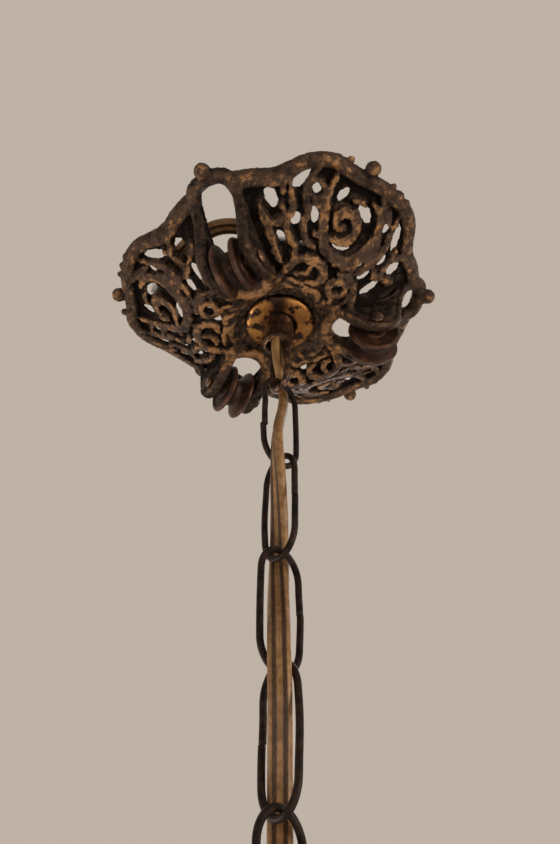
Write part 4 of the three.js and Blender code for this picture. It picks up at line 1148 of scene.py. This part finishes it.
def make_tube(name, body, node_name, paint):
    low, high = span(node_name)
    outline = [(3.7, low), (4.9, low), (5.0, low + 0.4), (5.0, high - 0.4), (4.9, high), (3.7, high)]
    made = threaded(name, outline, paint, 64, 0.3, thread(1.0, 0.4, 4.5))
    finished(made, body, node_name)


def make_ceiling_hardware(steel, brass):
    wall, stud, plate = 2.4, 5.0, 23.0
    outline = [(0, 0), (plate - 0.5, 0), (plate, -0.5)]
    outline += at(-wall, [(plate, 0.5), (plate - 0.6, 0), (stud + 0.8, 0), (stud, -0.6), (stud, -4.0),
                          (stud - 0.5, -4.4), (0, -4.4)])
    finished(turned("ceiling_disc", outline, steel, 128, 0.2), "canopy", "ceiling_plate")
    for k in range(SECTORS):
        low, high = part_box(f"plate_screw_{k + 1}")
        tip = high.z / MM
        outline = at(-wall - CLEAR, [(0, -2.0), (2.4, -1.7), (3.3, -0.9), (3.7, 0), (2.0, 0)])
        outline += [(2.0, 1), (2.0, tip - 3), (0, tip)]
        screw = threaded(f"wood_screw_{k + 1}", rounded(outline, 0.15), steel, 32, 0.35,
                         thread(1.6, 0.45, 0.6, 1, tip - 0.6))
        screw.data.transform(Matrix.Translation(((low.x + high.x) / 2, (low.y + high.y) / 2, 0)))
        finished(screw, "canopy", f"plate_screw_{k + 1}")
    make_tube("threaded_tube", "canopy", "nipple", brass)


def make_casing(brass, card):
    make_tube("holder_tube", "lampholder", "lampholder_nipple", brass)
    wall, radius = 0.8, 18.6
    low, high = span("socket_cap")
    outline = at(high, [(5.3, 0), (7.4, 0), (7.9, -0.5), (8.0, -2), (9.2, -2.9), (12.5, -4), (15, -5.7),
                        (16.8, -7.6), (18, -9.4), (radius, -11)])
    outline += [(radius, low), (radius - wall, low)]
    outline += at(high, [(radius - wall, -11), (17.2, -9.8), (16, -8), (14.4, -6.2), (12.2, -4.8), (5.3, -2.8)])
    finished(turned("holder_cap", outline, brass, 128, 0.3), "lampholder", "socket_cap")

    low, high = span("socket_shell")
    outline = at(high, [(0, 0), (0.7, -0.3), (1, -1), (0.7, -1.8), (0, -2.2), (0, -5), (0.25, -5.4), (0, -5.8)],
                 radius)
    outline += at(low, [(0, 7), (0.25, 6.6), (0, 6.2), (0, 3), (0.7, 2.2), (1, 1.4), (0.7, 0.5), (0, 0),
                        (-wall, 0)], radius)
    outline.append((radius - wall, high))
    finished(turned("holder_shell", outline, brass, 144, 0.2), "lampholder", "socket_shell")

    low, high = span("card_liner")
    outline = [(17.5, low), (17.5, high), (16.8, high), (16.8, low)]
    finished(turned("holder_liner", outline, card, 96, 0.1), "lampholder", "card_liner")


def wave(depth, least_radius, low=-math.inf, high=math.inf):
    """The rolled thread of the bulb's cap and its sleeve."""
    pitch = 3.62
    return lambda angle, radius, z: depth * math.sin(
        2 * math.pi * z / pitch - angle) if radius > least_radius and low < z < high else 0


def make_bulb(brass, glass, tungsten):
    """The bulb's cap in its sleeve, its glass and its filament."""
    low, high = span("bulb_screw_cap")
    outline = at(high, [(0, 0), (10, 0), (12.2, -1.6), (12.6, -2.4)])
    outline += at(low, [(12.6, 1.2), (12.9, 0.6), (13.0, 0), (12.2, 0), (11.9, 1)])
    outline += at(high, [(11.9, -3.2), (9.8, -3.6), (0, -3.6)])
    cap = threaded("bulb_thread", outline, brass, 96, 0.45, wave(0.42, 11, low + 1.2, high - 2.4))
    finished(cap, "lampholder", "bulb_screw_cap")

    low, high = span("screw_sleeve")
    outline = [(14.0, low), (13.5, low)]
    outline += at(high, [(13.5, -1), (12.9, -0.6), (8, -0.6), (8, 0), (13.4, 0), (14.0, -0.8)])
    sleeve = threaded("holder_thread", outline, brass, 96, 0.45, wave(0.1, 13.2))
    finished(sleeve, "lampholder", "screw_sleeve")

    low, high = span("bulb_glass")
    ball = low + 30
    walls = []
    for r_ball, neck in ((30, 11.9), (29, 10.9)):
        angles = [math.radians(-90 + i * 134 / 48) for i in range(49)]
        line = [(max(r_ball * math.cos(a), 0), ball + r_ball * math.sin(a)) for a in angles]
        end_r, end_z = line[-1]
        for i in range(1, 15):
            t = i / 14
            line.append((end_r + (neck - end_r) * ease(t * 0.95 + 0.05) * 0.999, end_z + (high - 10 - end_z) * t))
        walls.append(line + [(neck, high - 6), (neck, high)])
    outline = walls[0] + walls[1][::-1]
    finished(turned("bulb_envelope", outline, glass, 96, 0.02), "lampholder", "bulb_glass")

    low, high = span("bulb_filament")
    level, ring, coils, coil, wire = np.array((1, 1, 0)), 11, 90, 0.4, 0.12
    turns = [math.radians(30 + i * 25) for i in range(13)]
    draw = [(ring * math.cos(t), ring * math.sin(t), low + 0.6 + (i % 2) * 2) for i, t in enumerate(turns)]
    axis = catmull([(2.6, 1.4, high - 0.8), *draw, (2.6, -1.4, high - 0.8)], 60)
    phases = [2 * math.pi * i / len(axis) * coils for i in range(len(axis))]
    path = np.array([place + coil * np.array((0, 0, math.sin(p))) + coil * math.cos(p) * place * level / ring
                     for place, p in zip(axis, phases)])
    wide = np.cross(np.gradient(path, axis=0), path * level + np.array((0.01, 0, 0)))
    points, faces = swept(path, wide, circle(wire, 5))
    finished(build("bulb_coil", points, faces, tungsten), "lampholder", "bulb_filament")


def repaint(paints):
    """Gives the CAD nodes that stay their finish."""
    for name, paint in paints.items():
        kept = frame["nodes"][name]
        for slot in kept.material_slots:
            slot.material = paint
        if not kept.material_slots:
            kept.data.materials.append(paint)


# The whole scene

make_camera()
make_floor()
make_world()
for light in LIGHTS:
    area_light(*light)

casting = aged_casting()
chain_iron = aged_metal(
    "chain_iron", (0.004, 0.0027, 0.0022), (0.008, 0.0046, 0.0036), (0.035, 0.018, 0.011), 0.2, (0.6, 0.45), 260,
    shine=0.15)
iron = aged_metal(
    "brown_iron", (0.01, 0.0065, 0.005), (0.042, 0.021, 0.013), (0.3, 0.15, 0.075), 0.6, (0.48, 0.24), 330)
bronze = aged_metal(
    "red_brown_bronze", (0.008, 0.0045, 0.0034), (0.038, 0.0155, 0.0085), (0.13, 0.052, 0.024), 0.4, (0.6, 0.42), 240,
    shine=0.35)
brass = aged_metal(
    "aged_brass", (0.028, 0.013, 0.007), (0.36, 0.145, 0.036), (0.62, 0.3, 0.08), 0.8, (0.55, 0.38), 150, specks=1.0)
shell_brass = aged_metal(
    "lamp_brass", (0.2, 0.115, 0.04), (0.5, 0.31, 0.115), (0.66, 0.45, 0.19), 0.85, (0.42, 0.24), 90, specks=0.25)
steel = aged_metal(
    "zinc_steel", (0.26, 0.26, 0.25), (0.44, 0.44, 0.43), (0.62, 0.62, 0.61), 0.85, (0.45, 0.3), 180)
tungsten = aged_metal(
    "tungsten", (0.12, 0.12, 0.12), (0.25, 0.25, 0.25), (0.4, 0.4, 0.4), 0.8, (0.5, 0.4), 400)
porcelain = glaze()
glass = clear_glass()

make_cord(plastic_cord())
make_links(chain_iron)
make_loops(iron, shell_brass)
make_collar(brass)
make_pulleys(bronze, iron)
make_canopy(casting)
make_ceiling_hardware(steel, shell_brass)
make_casing(shell_brass, fibre_card())
make_bulb(shell_brass, glass, tungsten)
repaint({"hickey": iron, "bulb_button": steel, "bulb_stem": glass})
repaint(dict.fromkeys(("socket_body", "bulb_insulator", "terminal_block"), porcelain))
repaint(dict.fromkeys(("terminal_screw_1", "terminal_screw_2", "centre_contact", "block_screw_1", "block_screw_2"),
                      shell_brass))

bpy.context.scene.view_settings.view_transform = "Standard"
